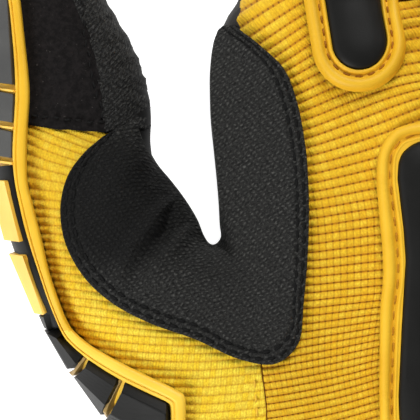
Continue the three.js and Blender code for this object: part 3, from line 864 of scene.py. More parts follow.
PITCH_BACK = ([-97, -60, -28, -16, -8, 0, 8, 16, 24, 28, 32, 38, 44, 60, 130],
              [1.7, 1.55, 1.40, 1.47, 1.60, 1.72, 1.79, 1.90, 1.98, 2.06, 2.2, 2.25, 2.3, 2.2, 2.0])
BACK = Ribs(21, tilt_back, PITCH_BACK, -97, 150, 0, 124, 3)
WALE_BACK = ([-40, -25, -10, 5, 50], [1.08, 1.14, 1.32, 1.4, 1.4])
PITCH_THUMB = ([-97, -60, -28, -22, -16, -8, 0, 8, 12, 18, 26], [1.7, 1.7, 1.72, 1.66, 1.6, 1.6, 1.62, 1.6, 1.58, 1.62, 1.68])
THUMB_RIBS = Ribs(-27, tilt_thumb, PITCH_THUMB, -97, 30, -46, 12, 5)
WALE_THUMB = ([-60, 30], [1.15, 1.15])
DENSE = (-39, 51)


def right_edge(y):
    palm = columns(PALM, np.clip(y, -97, 50))[1]
    pinky = columns(FINGERS["pinky"], np.clip(y, 10, 104))[1]
    return np.where(y > 12, np.maximum(palm * (y < 44), pinky), palm)


def left_seam(y):
    """Left border of the back panel: the seam, then under the patch, then the finger's side."""
    side = columns(PALM, np.clip(y, -97, 50))[0] + 0.9
    seam = np.interp(y, [-97, -32.4, -29.4, -26.4, -24, -3, 4, 20, 30, 37, 42, 46, 60], [10.2, 10.2, 9.85, 9.4, 9.2, 9.4, 12.5, 13.6, 11.5, 7.5, 4.2, 4.4, 4.4])
    return np.where(y < -60, np.maximum(seam, side), seam)


CUT_X, CUT_Y = 40.0, 43.6


def back_panel():
    cc = BACK.curves(np.linspace(20, 50, 301))
    c_cut = float(np.interp(CUT_Y, BACK.at(cc, np.full((301, 1), CUT_X))[:, 0], np.linspace(20, 50, 301)))
    c_cut = float(BACK.c[np.argmin(np.abs(BACK.c - c_cut))])      # between two ribs
    cut = BACK.curves(np.array([c_cut]))[0]
    inner = 78
    s = np.concatenate([np.linspace(0, 1, inner, endpoint=False), 1 + (1 - np.cos(np.linspace(0, 1, 56) * math.pi / 2)) * 0 + np.sin(np.linspace(0, 1, 56) * math.pi / 2)])

    def xfun(s, y):
        a = left_seam(y) + 0.12
        b = right_edge(y) - 0.5
        return np.where(s < 1, a + (42.5 - a) * s, 42.5 + (b - 42.5) * (s - 1))

    parts = [rib_sheet("back", BACK, -97, c_cut, DENSE, xfun, s, WALE_BACK)]
    cutf = lambda x: np.interp(x, BACK.xs, cut)
    for key, f in FINGERS.items():
        end = f["to"] - 3.2

        def xf(s, y, f=f, key=key):
            yc = np.clip(y, f["t"][0, 0], f["to"] - 0.5)
            xl, xr, _, _ = columns(f, yc)
            cap = np.clip(yc - (f["to"] - f["nose"]), 0, None) / f["nose"]
            k = (1 - cap ** f["n"]) ** (1 / f["n"])
            c, a = (xl + xr) / 2, (xr - xl) / 2 * k - 0.5
            lo, hi = c - a, c + a
            if key == "index":
                lo = np.where(y < 46, left_seam(y), np.maximum(lo, left_seam(y)))
                hi = np.where(y < 50, np.maximum(hi, 42.6), hi)
            if key == "middle":
                lo = np.where(y < 50, np.minimum(lo, 42.6), lo)
                hi = np.where(y < 46, np.maximum(hi, 65.4), hi)
            if key == "ring":
                lo = np.where(y < 46, np.minimum(lo, 65.4), lo)
                hi = np.where(y < 46, np.maximum(hi, 91), hi)
            if key == "pinky":
                lo = np.where(y < 46, np.minimum(lo, 91), lo)
            mid = (lo + hi) / 2
            half = (hi - lo) / 2
            return mid + half * np.sin(s * math.pi / 2)

        n = 66 if key == "index" else 30
        parts.append(rib_sheet(key, BACK, c_cut, end + 4, DENSE if key == "index" else (0, 0), xf, np.linspace(-1, 1, n), WALE_BACK))
        v, faces, uv = parts[-1]
        keep = (v[faces][:, :, 1].max(1) < end)
        parts[-1] = (v, faces[keep], uv)
    return parts, cutf


def merge(parts):
    v, f, u, n = [], [], [], 0
    for p, q, w in parts:
        v.append(p)
        f.append(q + n)
        u.append(w)
        n += len(p)
    return np.concatenate(v), np.concatenate(f), np.concatenate(u)


parts, CUT = back_panel()
v, f, u = compact(*merge(parts))
back = finish_piece(mesh_object("back_panel_fabric", v, f, u), MAT["ribs"], ["back_panel"])


def thumb_left(y):
    t = columns(THUMB, np.clip(y, -78, 60))[0]
    p = columns(PALM, np.clip(y, -97, 0))[0]
    return np.where(y > -60, np.minimum(t, p), np.minimum(p, np.where(y > -76, t, p))) + 0.7


def thumb_right(y):
    return np.interp(y, [-97, -32.4, -29.4, -26.4, -24, -21, -17, -11, -4, 5, 14.4, 21.4, 26], [10.05, 10.05, 9.7, 9.25, 9.05, 9.1, 1, -17, -25, -27.5, -25, -18.5, -17])


def thumb_base():
    s = np.concatenate([(1 - np.cos(np.linspace(0, 1, 26, endpoint=False) * math.pi / 2)) * 0.22, np.linspace(0.22, 1, 84)])

    def xfun(s, y):
        a, b = thumb_left(y), thumb_right(y)
        return a + (b - a) * s

    p = rib_sheet("thumb", THUMB_RIBS, -97, 27, DENSE, xfun, s, WALE_THUMB, 0.38)
    v, faces, uv = p
    keep = (v[faces][:, :, 1].max(1) < 25.4) & (v[faces][:, :, 1].min(1) > -98)
    return v, faces[keep], uv


v, f, u = compact(*thumb_base())
# the thumb base fabric in its brighter tones: painted light
tbase = finish_piece(mesh_object("thumb_base_fabric", v, f, u), MAT["ribs_thumb_painted_light"], ["thumb_base_panel"])


# ------------------------------------------------------------ leather underside
def tube(part, rings, sides=40):
    """Closed tube through a table, as a source for the remeshed union."""
    y0, y1 = part["t"][0, 0], part["to"]
    ys = np.concatenate([np.linspace(y0, y1 - part["nose"], rings), y1 - part["nose"] + part["nose"] * np.array([0.3, 0.55, 0.75, 0.9, 0.985])])
    xl, xr, zb, zt = columns(part, ys)
    cap = np.clip((ys - (y1 - part["nose"])) / part["nose"], 0, 1)
    k = (1 - cap ** part["n"]) ** (1 / part["n"])
    if part["start"]:
        a0, c0 = part["start"]
        q = np.clip(y0 + c0 - ys, 0, None) / c0
        k = k * np.clip(1 - np.clip(q, 0, 0.97) ** part["n"], 0.01, 1) ** (1 / part["n"])
    th = np.linspace(0, 2 * math.pi, sides, endpoint=False)
    e = 2 / part["n"]
    cx, cz = (xl + xr) / 2, (zb + zt) / 2
    X = cx[:, None] + ((xr - xl) / 2 * k)[:, None] * (np.sign(np.cos(th)) * np.abs(np.cos(th)) ** e)[None]
    Z = cz[:, None] + ((zt - zb) / 2 * k)[:, None] * (np.sign(np.sin(th)) * np.abs(np.sin(th)) ** e)[None]
    Yv = np.broadcast_to(ys[:, None], X.shape)
    v = np.stack([X, Yv, Z], -1).reshape(-1, 3)
    n = len(ys)
    f = grid_faces(n, sides, True).tolist() + [list(range(sides)), list(range((n - 1) * sides, n * sides))[::-1]]
    return v, f


def union_mesh(size):
    parts = [tube(PALM, 30, 64), tube(THUMB, 26, 44)] + [tube(f, 22, 36) for f in FINGERS.values()]
    v, f = join_parts(parts)
    me = bpy.data.meshes.new("source")
    me.from_pydata(v.tolist(), [], f)
    me.update()
    bm = bmesh.new()
    bm.from_mesh(me)
    bmesh.ops.recalc_face_normals(bm, faces=bm.faces)
    bm.to_mesh(me)
    bm.free()
    ob = bpy.data.objects.new("source", me)
    bpy.context.scene.collection.objects.link(ob)
    mod = ob.modifiers.new("voxels", "REMESH")
    mod.mode, mod.voxel_size = "VOXEL", size
    ev = ob.evaluated_get(bpy.context.evaluated_depsgraph_get())
    out = ev.to_mesh()
    co = np.empty(len(out.vertices) * 3, np.float32)
    out.vertices.foreach_get("co", co)
    quads = np.array([list(p.vertices) if len(p.vertices) == 4 else list(p.vertices) + [p.vertices[-1]] for p in out.polygons])
    ev.to_mesh_clear()
    bpy.data.objects.remove(ob)
    return co.reshape(-1, 3).astype(float), quads


def list_faces(q):
    return [list(dict.fromkeys(r)) for r in q.tolist()]


SEAM = 15.0


def depth_in_yellow(p):
    """How far a point of the skin lies inside the yellow panels, in mm."""
    x, y, z = p.T
    d = (z - SEAM) * 1.0
    d = np.where(y > CUT(x), -5.0, d)
    thumbside = (x < 9.4) & (y > -3)
    d = np.where(thumbside & (x > thumb_right(y) - 0.5), -5.0, d)
    d = np.where(thumbside & (x <= thumb_right(y) - 0.5), np.minimum(d, thumb_right(y) - x), d)
    d = np.where((x > 0) & (y > -3) & (y <= CUT(x)), np.minimum(np.minimum(z - SEAM, x - left_seam(y)), CUT(x) - y + 3), d)
    for key, f in FINGERS.items():
        yc = np.clip(y, f["t"][0, 0], f["to"])
        xl, xr, _, _ = columns(f, yc)
        if key == "index":
            xl = np.maximum(xl, left_seam(y) - 0.5)
        # webs between the fingers, covered by the same sheets
        near = y < (50 if key in ("index", "middle") else 46)
        for side, keys in ((42.6, ("index", "middle")), (65.4, ("middle", "ring")), (91, ("ring", "pinky"))):
            if key == keys[0]:
                xr = np.where(near, np.maximum(xr, side), xr)
            if key == keys[1]:
                xl = np.where(near, np.minimum(xl, side), xl)
        inn = (y > CUT(x) - 0.01) & (x > xl) & (x < xr)
        dd = np.minimum(np.minimum(z - SEAM, f["to"] - 3.2 - y), np.minimum(x - xl, xr - x) * 3 + 0.5)
        if key == "index":
            dd = np.minimum(dd, x - left_seam(y))
        d = np.where(inn, np.maximum(d, dd), d)
    return d


PATCH_ZONE = np.array([(-22.4, 21.4), (-26.2, 18), (-29.4, 13.4), (-30.8, 7.6), (-30, 0.6), (-26.2, -6.6), (-20.6, -11.8),
                       (-13, -15.8), (-4, -19), (5, -23), (12, -23.8), (16.4, -20), (17.6, -11.4), (18.4, -1.4), (18.6, 8.6),
                       (18, 19), (16.2, 28.6), (13.8, 34.6), (9.4, 39.2), (5.6, 42.6), (2, 43), (1, 30), (1.5, 12), (1.5, 2), (-0.5, -1.5),
                       (-3.6, 2), (-9, 10), (-12, 15), (-15, 22)], float)
WALL_ZONE = np.array([(-15, 22.5), (-11.4, 22.5), (-9.5, 16), (-5, 10), (0, 3), (-2.2, 12), (-2.6, 40), (2.0, 42), (4, 30), (4, -4), (-4, -4), (-14, 12)], float)
co, quads = union_mesh(1.5)
skin = settle(settle(co, 0.0, 4), 0.0, 2)
skin[:, 2] = np.maximum(skin[:, 2], 0.0)
dy = depth_in_yellow(skin)
nrm = normal(skin)
sleeve = (skin[:, 0] < -6) & (skin[:, 1] > 23.5)
inset = 1.1 * ease(dy / 1.0)
skin = skin - nrm * inset[:, None]
skin[:, 2] = np.maximum(skin[:, 2], 0.0)
fd = dy[quads].min(1)
under = inside(skin[:, :2], PATCH_ZONE, 1.6) & (skin[:, 2] > 10)
wall = inside(skin[:, :2], WALL_ZONE, 0.0) & (skin[:, 2] > 9.5)
hidden = (under | wall)[quads].all(1)
drop = hidden | (fd > 2.2) | (sleeve[quads].all(1) & (skin[quads][:, :, 1].min(1) > 26)) | (skin[quads][:, :, 1].max(1) < -98.5)
v, q, _ = compact(skin, quads[~drop])
palm = finish_piece(mesh_object("palm_leather", v, list_faces(q)), MAT["leather"], ["palm_panel"])

co, quads = union_mesh(2.6)
inner = settle(settle(co, -1.7, 4), -1.7, 2)
inner[:, 2] = np.maximum(inner[:, 2], 1.7)
keep = inner[quads][:, :, 1].max(1) > -98.5
v, q, _ = compact(inner, quads[keep][:, ::-1])
keep2 = q
lining = finish_piece(mesh_object("lining", v, list_faces(keep2)), MAT["lining"])


# ------------------------------------------------------------------ cuff band
def ring_section(y, grow, sides, floor):
    xl, xr, zb, zt = columns(PALM, np.full(1, float(y)))
    th = np.linspace(0, 2 * math.pi, sides, endpoint=False)
    e = 2 / PALM["n"]
    a, b = (xr - xl) / 2 + grow, (zt - zb) / 2 + grow
    x = (xl + xr) / 2 + a * np.sign(np.cos(th)) * np.abs(np.cos(th)) ** e
    z = (zb + zt) / 2 + b * np.sign(np.sin(th)) * np.abs(np.sin(th)) ** e
    return np.stack([x, np.full(sides, float(y)), np.maximum(z, floor)], -1)


def cuff():
    rows = []
    for y in np.linspace(-96.4, -118.2, 46):
        groove = 0.0
        if abs(y + 112.5) < 0.5 or abs(y + 114.3) < 0.5:
            groove = -0.35
        rows.append(ring_section(y, 0.75 + 0.12 * math.sin(y * 3.1) + groove - 0.6 * max(0, -96.9 - y < 0) * 0, 220, 0.0))
    for t in np.linspace(0, math.pi, 9):
        rows.append(ring_section(-118.2 - 0.9 * math.sin(t), -0.3 + 1.05 * math.cos(t), 220, 0.9 - 0.9 * math.cos(t)))
    for y in np.linspace(-117.6, -95.5, 14):
        rows.append(ring_section(y, -1.5, 220, 1.8))
    v = np.stack(rows)
    return v.reshape(-1, 3), grid_faces(len(rows), 220, True)


v, f = cuff()
cuffo = finish_piece(mesh_object("cuff_band_knit", v, f), MAT["cuff"], ["cuff_band"])


# ----------------------------------------------------------------- thumb sleeve
def sleeve_mesh():
    th = np.linspace(-180, 180, 181)[:-1]
    edge = lambda y, a: y
    nose, to = THUMB["nose"], THUMB["to"]
    rows = []
    base = 22.9 - 0.0 * th
    xs0, = (columns(THUMB, np.array([23.0]))[0],)
    ts = np.concatenate([np.linspace(0, 1, 44, endpoint=False) * (to - nose - 22), (to - nose - 22) + nose * np.sin(np.linspace(0, 0.999, 14) * math.pi / 2)])
    P = []
    for k, t in enumerate(ts):
        y = 22.0 + t
        yy = np.full(len(th), y)
        # lower border falls a little towards the patch
        fall = np.interp(th, [-180, -60, 20, 60, 100, 130, 180], [1.5, 1.5, 1.0, 0.0, 0.8, 2.0, 1.5])
        yy = yy + fall * np.clip(1 - t / 12, 0, 1)
        p, n = thumb_surface((th % 360) * ARC, yy)
        h = 0.42 + 0 * th
        P.append(p + n * h[:, None])
        if k == 0:
            P.insert(0, p - n * 0.6)
            P.insert(1, p + n * 0.28 + np.array([0, 0.12, 0]))
    tip = P[-1].mean(0)
    tip[1] = to + 0.42
    P.append(np.broadcast_to(tip, P[-1].shape))
    P = np.stack(P)
    P[..., 2] = np.maximum(P[..., 2], 0.0)
    f = grid_faces(P.shape[0], P.shape[1], True)
    return P.reshape(-1, 3), f, th


v, f, th = sleeve_mesh()
# the side panel is rough and a little lumpy
lump = ease((v[:, 0] + 26) / 4) * (0.10 * np.sin(v[:, 1] * 3.1 + v[:, 2] * 0.9) + 0.09 * np.sin(v[:, 1] * 5.3 + 1.1 + v[:, 0]) + 0.16 * np.sin(v[:, 1] * 1.37 + 0.4))
v[:, 0] += lump * ease((v[:, 1] - 19) / 3)
f = f[:, ::-1].copy()
a = math.radians(30)
uv = np.stack([(v[:, 0] * math.cos(a) + v[:, 1] * math.sin(a)) / 0.8, (-v[:, 0] * math.sin(a) + v[:, 1] * math.cos(a) + 0.5 * v[:, 2]) / 0.8], -1)
sl = mesh_object("thumb_sleeve_suede", v, f, uv)
finish_piece(sl, [MAT["suede"], MAT["side"], MAT["leather"]], ["thumb_sleeve"])
c = v[f].mean(1)
seam_x = np.interp(c[:, 1], [20, 26.6, 33.6, 41.6, 48.6, 70], [-21.5, -22.4, -23.4, -25.2, -28.4, -34])
kind = np.where(c[:, 0] > seam_x, 1, 0)
kind = np.where((c[:, 2] < 10) & (c[:, 0] > -36), 2, kind)
sl.data.polygons.foreach_set("material_index", kind.astype(np.int32))

# smooth dark fold of the sleeve at its inner lower edge
an, ys = np.meshgrid(np.linspace(-38, 40, 24), np.linspace(17.0, 33.0, 24), indexing="ij")
ta, ty = (an - 1) / 39, (ys - 25.0) / 8.0
hh = 0.75 * np.clip(1 - np.abs(ta) ** 2.2, 0, 1) ** 0.5 * np.clip(1 - np.abs(ty) ** 2.2, 0, 1) ** 0.5
P, N = thumb_surface(an.reshape(-1) * ARC, ys.reshape(-1))
P = P + N * (hh.reshape(-1)[:, None] - 0.15)
fold = mesh_object("thumb_sleeve_fold", P, grid_faces(24, 24)[:, ::-1], None)
finish_piece(fold, MAT["fold"])

# seam allowance seen in the slit between thumb base and back of the hand
gx, gy = np.meshgrid(np.linspace(7.6, 12.4, 12), np.linspace(-20, -60, 90), indexing="ij")
P, N = plan_surface(gx.reshape(-1), gy.reshape(-1))
slip = mesh_object("seam_allowance", P - N * 0.62, grid_faces(12, 90), None)
finish_piece(slip, MAT["seam"])


# ------------------------------------------------------- patch over the crotch
# Pairs along the patch, from the thumb round the crotch to the index finger:
# a point of the inner edge, where it turns down, and one of the outer edge.
PATCH_IN = [(-15.8, 24.8), (-14.3, 20.6), (-11.8, 16), (-9, 12.6), (-6, 8.6), (-3.6, 4.6), (-2.2, 1.2), (-1.2, -0.2),
            (-0.4, -0.5), (0.4, -0.2), (1.2, 1), (1, 3.6), (0.8, 7.6), (0.4, 12.6), (-0.2, 18.6), (-0.8, 24.6),
            (-1, 29.6), (-1, 34.6), (-0.5, 39.6), (0.1, 42.0), (1.2, 43.8)]
PATCH_OUT = [(-22.4, 21.4), (-26.2, 18), (-29.4, 13.4), (-30.8, 7.6), (-30, 0.6), (-26.2, -6.6), (-20.6, -11.8),
             (-13, -15.8), (-4, -19), (5, -23), (12, -23.8), (16.4, -20), (17.6, -11.4), (18.4, -1.4), (18.6, 8.6),
             (18, 19), (16.2, 28.6), (13.8, 34.6), (9.4, 39.2), (5.6, 42.4), (3.8, 43.9)]


def along(pts, n):
    """Even points of the smooth curve through a table, n of them."""
    c = spline(pts, 40 * len(pts))
    s = np.linspace(0, len(pts) - 1, n)
    t = np.linspace(0, len(pts) - 1, len(c))
    return np.stack([np.interp(s, t, c[:, k]) for k in range(2)], -1)


def even(pairs, n):
    """Resamples several curves together, evenly by the mean arc length."""
    d = sum(np.hypot(*np.diff(p, axis=0).T) for p in pairs) + 1e-6
    s = np.concatenate([[0], np.cumsum(d)])
    t = np.linspace(0, s[-1], n)
    return [np.stack([np.interp(t, s, p[:, k]) for k in range(2)], -1) for p in pairs]


PATCH_LEVEL = 1.15


def patch():
    n = 330
    inn, out = even([along(PATCH_IN, 800), along(PATCH_OUT, 800)], n)
    walls = []
    for z, out_by in ((8.0, -0.6), (10.5, -0.1), (13.0, 0.05), (15.5, 0.0), (18.0, -0.1)):
        walls.append(np.stack([inn[:, 0], inn[:, 1], np.full(n, z)], -1) + np.column_stack([(inn - out) / np.maximum(np.hypot(*(out - inn).T), 1)[:, None] * out_by, np.zeros(n)]))
    side = walls[-1][:, :2]
    ts = np.concatenate([[0.004, 0.014, 0.03, 0.05], np.linspace(0.075, 0.955, 92)])
    d = out - side
    length = np.hypot(*d.T)
    # the notch between thumb and finger is narrow, so the cloth lies closer
    notch = np.exp(-((inn[:, 0] + 0.6) ** 2 + (inn[:, 1] - 0.5) ** 2) / 5.0 ** 2)
    rows, ht = [], []
    for t in ts:
        q = side + d * t
        level = PATCH_LEVEL - 1.0 * notch * np.exp(-length * t / 5.0)
        z = top(q[:, 0], q[:, 1], level)
        z = np.maximum(z, 18.3 + 7.0 * (1 - np.exp(-length * t / 3.0)))
        rows.append(np.stack([q[:, 0], q[:, 1], z], -1))
        ht.append(length * (1 - t))
    P = np.stack(rows)
    away = np.stack(ht)
    N = normal(P)
    # stitched border: two pulled-in lines, puffed cloth between and inside
    dent = -0.34 * np.exp(-((away - 1.15) / 0.32) ** 2) - 0.34 * np.exp(-((away - 2.65) / 0.34) ** 2)
    puff = 0.16 * np.exp(-((away - 1.9) / 0.5) ** 2) + 0.22 * np.exp(-((away - 4.0) / 0.9) ** 2)
    rr = (P[..., 0] * 0.37, P[..., 1] * 0.41)
    uneven = 0.10 * np.sin(rr[0] * 2.3 + 1.7 * np.sin(rr[1] * 1.3)) * np.sin(rr[1] * 2.9 + 0.8)
    P = P + N * (dent + puff + uneven * np.clip(away / 3, 0, 1))[..., None]
    # rounded cut edge
    e1 = side + d
    edge = []
    for w, lv in ((-0.30, PATCH_LEVEL - 0.02), (-0.10, PATCH_LEVEL - 0.16), (0.0, PATCH_LEVEL - 0.45), (0.02, 0.15), (-0.15, -0.5)):
        q = e1 + d / length[:, None] * w
        edge.append(np.stack([q[:, 0], q[:, 1], top(q[:, 0], q[:, 1], lv)], -1))
    allp = np.concatenate([np.stack(walls), P, np.stack(edge)])
    # close both ends with a folded edge
    NN = normal(allp)
    along_ = np.gradient(allp, axis=1)
    along_ /= np.maximum(np.linalg.norm(along_, axis=-1, keepdims=True), 1e-6)
    first = [allp[:, :1] - along_[:, :1] * 0.12 - NN[:, :1] * 0.35, allp[:, :1] - along_[:, :1] * 0.1 - NN[:, :1] * 1.5]
    last = [allp[:, -1:] + along_[:, -1:] * 0.12 - NN[:, -1:] * 0.35, allp[:, -1:] + along_[:, -1:] * 0.1 - NN[:, -1:] * 1.5]
    G = np.concatenate([first[1], first[0], allp, last[0], last[1]], 1)
    a = math.radians(22)
    x, y, z = G[..., 0], G[..., 1], G[..., 2]
    U = (x * math.cos(a) + y * math.sin(a)) / 0.8
    V = (-x * math.sin(a) + y * math.cos(a) - 0.35 * z) / 0.82
    UV = np.stack([U, V], -1)
    return G, UV, P, N, away


G, UV, PP, PN, AWAY = patch()
po = mesh_object("saddle_patch_fabric", G.reshape(-1, 3), grid_faces(G.shape[0], G.shape[1])[:, ::-1].copy(), UV.reshape(-1, 2))
finish_piece(po, MAT["grain"], ["saddle_patch"])


def border_line(at):
    """Points of the patch at one distance from its outer edge."""
    p, n = [], []
    for j in range(PP.shape[1]):
        a = AWAY[:, j][::-1]
        p.append([np.interp(at, a, PP[::-1, j, k]) for k in range(3)])
        n.append([np.interp(at, a, PN[::-1, j, k]) for k in range(3)])
    return np.array(p), np.array(n)


seams = []
for at in (1.15, 2.65):
    p, n = border_line(at)
    k = slice(4, -3)
    seams.append(stitches(p[k], n[k], 2.0, 0.6, 0.31, 0.17, 0.05))
v, f = join_parts(seams)
finish_piece(mesh_object("patch_stitches", v, f), MAT["thread"])

# lockstitch beside the seam between thumb base and back of the hand
ys = np.linspace(-26.5, -60, 200)
xs = np.interp(ys, [-60, -35, -29, -24], [8.2, 8.4, 8.0, 7.4])
p, n = plan_surface(xs, ys)
v, f = stitches(p, n, 1.9, 0.9, 0.2, 0.02)
finish_piece(mesh_object("seam_stitches", v, f), MAT["yellow_thread"])

# seam between the front and the side of the thumb sleeve
ys = np.linspace(24.5, 66, 140)
xs = np.interp(ys, [20, 26.6, 32.6, 40.6, 48.6, 70], [-21.5, -23, -24.6, -26.2, -27, -30]) + 0.15 * np.sin(ys * 1.9)
p, n = thumb_surface(thumb_angle(xs, ys) * ARC, ys)
v, f = stitches(p + n * 0.75, n, 1.5, 0.7, 0.2, 0.05, 0.08)
finish_piece(mesh_object("thumb_sleeve_stitches", v, f), MAT["thread"])

# row of stitches along the sleeve's lower edge
xs = np.linspace(-37, -20, 80)
ys = np.interp(xs, [-38, -30, -20], [25.6, 24.9, 24.0]) + 0.1 * np.sin(xs * 1.3)
p, n = thumb_surface(thumb_angle(xs, ys) * ARC, ys)
v, f = stitches(p + n * 0.72, n, 1.5, 0.8, 0.2, 0.06, 0.08)
finish_piece(mesh_object("thumb_sleeve_hem_stitches", v, f), MAT["thread"])


# ------------------------------------------------------------- moulded guards
def rings_of(surface, loop, profile):
    """Rings of a closed plan loop: (inset, height) pairs, outside first."""
    m = loop_normals(loop)
    out = []
    for d, h in profile:
        q = loop - m * d
        p, n = surface(q[:, 0], q[:, 1])
        out.append(p + n * (h if np.ndim(h) == 0 else np.asarray(h)[:, None]))
    return np.stack(out)


def even_loop(loop, n):
    p = np.vstack([loop, loop[:1]])
    s = np.concatenate([[0], np.cumsum(np.hypot(*np.diff(p, axis=0).T))])
    t = np.linspace(0, s[-1], n, endpoint=False)
    return ccw(np.stack([np.interp(t, s, p[:, k]) for k in range(2)], -1))


def ring_band(surface, loop, profile):
    r = rings_of(surface, loop, profile)
    return r.reshape(-1, 3), grid_faces(r.shape[0], r.shape[1], True)[:, ::-1].tolist()


def capped(surface, loop, profile, dome=0.0, step=1.3):
    """A raised or sunk field: rings from the outside in, then a filled top."""
    band = ring_band(surface, loop, profile)
    d, h = profile[-1]
    inner = loop - loop_normals(loop) * d
    vs, fs = fill_region(inner, [], step)
    p, n = surface(vs[:, 0], vs[:, 1])
    hh = np.full(len(vs), float(h))
    if dome:
        a, b = inner, np.roll(inner, -1, 0)
        e = b - a
        t = np.clip(((vs[:, :1] - a[:, 0]) * e[:, 0] + (vs[:, 1:] - a[:, 1]) * e[:, 1]) / np.maximum((e * e).sum(1), 1e-12), 0, 1)
        dist = np.hypot(vs[:, :1] - a[:, 0] - t * e[:, 0], vs[:, 1:] - a[:, 1] - t * e[:, 1]).min(1)
        hh = hh + dome * (1 - np.exp(-dist / 1.4))
    return join_parts([band, (p + n * hh[:, None], fs.tolist())])


def plan_slot(foot, head, w0, w1, n=220):
    foot, head = np.array(foot, float), np.array(head, float)
    u = (head - foot) / np.hypot(*(head - foot))
    s = np.array([u[1], -u[0]])
    r0, r1 = w0 / 2, w1 / 2
    pts = []
    for c, r, a0 in ((head - u * r1, r1, 0.0), (foot + u * r0, r0, math.pi)):
        for t in np.linspace(a0, a0 + math.pi, 40):
            pts.append(c + s * math.cos(t) * r + u * math.sin(t) * r)
    return even_loop(np.array(pts), n)


GUARDS = {"index": ((30.4, 30.2), (20.4, 84), 18.8, 16.4), "middle": ((52.6, 37), (51.8, 94), 18, 16),
          "ring": ((77.6, 34.5), (80, 86), 17.4, 15.4), "pinky": ((100.6, 24), (107.4, 68), 15.4, 13.6)}
# across the rim, from outside in: distance from the edge, height
RIM = [(-0.05, 0.1), (0.0, 0.9), (0.10, 1.7), (0.32, 2.35), (0.66, 2.8), (1.1, 3.05), (1.6, 3.1), (2.05, 2.9), (2.35, 2.45),
       (2.6, 1.95), (2.95, 1.85), (3.15, 2.1), (3.3, 2.5), (3.5, 2.72), (3.75, 2.72), (3.95, 2.5), (4.05, 2.1), (4.1, 1.2)]
LIFT = 0.3


def stretch(profile, k, lift=LIFT):
    return [(d * k, h + lift) for d, h in profile]


for key, (foot, head, w0, w1) in GUARDS.items():
    loop = plan_slot(foot, head, w0, w1)
    scale = 0.98 if key == "index" else 0.92
    prof = stretch(RIM, scale)
    parts = [ring_band(plan_surface, loop, prof)]
    ob = mesh_object(f"finger_guard_{key}_rim", *join_parts(parts))
    finish_piece(ob, MAT["yellow"], [f"finger_guard_{key}"])
    pad = [(4.1 * scale - 0.08, 0.9), (4.1 * scale + 0.02, 2.6), (4.1 * scale + 0.16, 3.0), (4.1 * scale + 0.5, 3.35), (4.1 * scale + 1.1, 3.6)]
    ob = mesh_object(f"finger_pad_{key}_face", *capped(plan_surface, loop, pad, 0.75))
    finish_piece(ob, MAT["black"], [f"finger_pad_{key}"])
    g = loop - loop_normals(loop) * 2.78 * scale
    g = np.vstack([g, g[:1]])
    p, n = plan_surface(g[:, 0], g[:, 1])
    v, f = stitches(p + n * (1.95 + LIFT), n, 1.8, 0.75, 0.2, 0.06, 0.05)
    finish_piece(mesh_object(f"finger_guard_{key}_stitches", v, f), MAT["gold_thread"])

# Guard over the back of the hand: its left edge first, from the top down.
HAND_LEFT = [(46, 24.2), (41, 23.8), (38, 23.2), (35.6, 22.2), (34, 20.6), (32.8, 18.6), (32.2, 16.4), (32, 12.6), (32.3, 8),
             (32.6, 4.6), (33.1, -1), (33.3, -5), (33.2, -8), (32.8, -12), (32.6, -22), (32.6, -35.4), (33, -46), (34.4, -50.6),
             (37, -53), (41, -54), (60, -54.4), (82, -54), (88, -52.4), (91, -49), (94.4, -40), (98.6, -26), (101.2, -12),
             (102.2, 0), (102, 6.5), (100.2, 11.2), (96, 14.8), (88, 19), (78, 22.6), (66, 24.4), (54, 24.6)]
hand_loop = even_loop(spline(HAND_LEFT, 700, True), 640)
HAND_PADS = {"index": ((43.4, -49.5), (42.2, 20), 13.6), "middle": ((57.4, -49.5), (58.9, 20.6), 12.4),
             "ring": ((70.8, -49.5), (75.2, 18.2), 12.4), "pinky": ((83.8, -48), (92, 13.2), 12.2)}
# rim narrower beside the upper end of the first pad, wider at mid-length
inset_y = np.interp(hand_loop[:, 1], [-50, -35, -17, -6, 2, 10, 18, 25], [0.82, 0.86, 1.0, 1.1, 1.12, 1.0, 0.95, 0.95])
hand_edge = hand_loop


def hand_rings(profile):
    m = loop_normals(hand_edge)
    out = []
    for d, h in profile:
        q = hand_edge - m * (d * (inset_y if d > 0 else 1.0))[:, None] if d > 0 else hand_edge - m * d
        p, n = plan_surface(q[:, 0], q[:, 1])
        out.append(p + n * h)
    return np.stack(out), q


hp = stretch(RIM[:-3], 0.96) + [(3.75, 2.9)]
rr, last = hand_rings(hp)
hand_parts = [(rr.reshape(-1, 3), grid_faces(rr.shape[0], rr.shape[1], True)[:, ::-1].tolist())]
pad_loops = {}
for key, (foot, head, w) in HAND_PADS.items():
    lp = plan_slot(foot, head, w, w, 260)
    if key == "index":
        # the first pad's left side follows the rim
        left = np.interp(lp[:, 1], [-48, -35.4, -17.4, -3.4, 2.6, 12.6, 15.6, 17.6], [36.0, 36.0, 36.8, 37.6, 37.2, 36.0, 36.2, 37.0])
        mid = (foot[0] + head[0]) / 2
        side = lp[:, 0] < mid
        lp[:, 0] = np.where(side, np.maximum(lp[:, 0], np.minimum(left, lp[:, 0] + 2.2)), lp[:, 0])
        lp = even_loop(lp, 260)
    pad_loops[key] = lp
cells = fill_region(last, list(pad_loops.values()), 1.6)
p, n = plan_surface(cells[0][:, 0], cells[0][:, 1])
hand_parts.append((p + n * 2.9, cells[1].tolist()))
for key, lp in pad_loops.items():
    hand_parts.append(ring_band(plan_surface, lp, [(0.0, 2.9), (0.08, 2.7), (0.1, 1.0)]))
ob = mesh_object("knuckle_guard_rim", *join_parts(hand_parts))
finish_piece(ob, MAT["yellow"], ["knuckle_guard"])
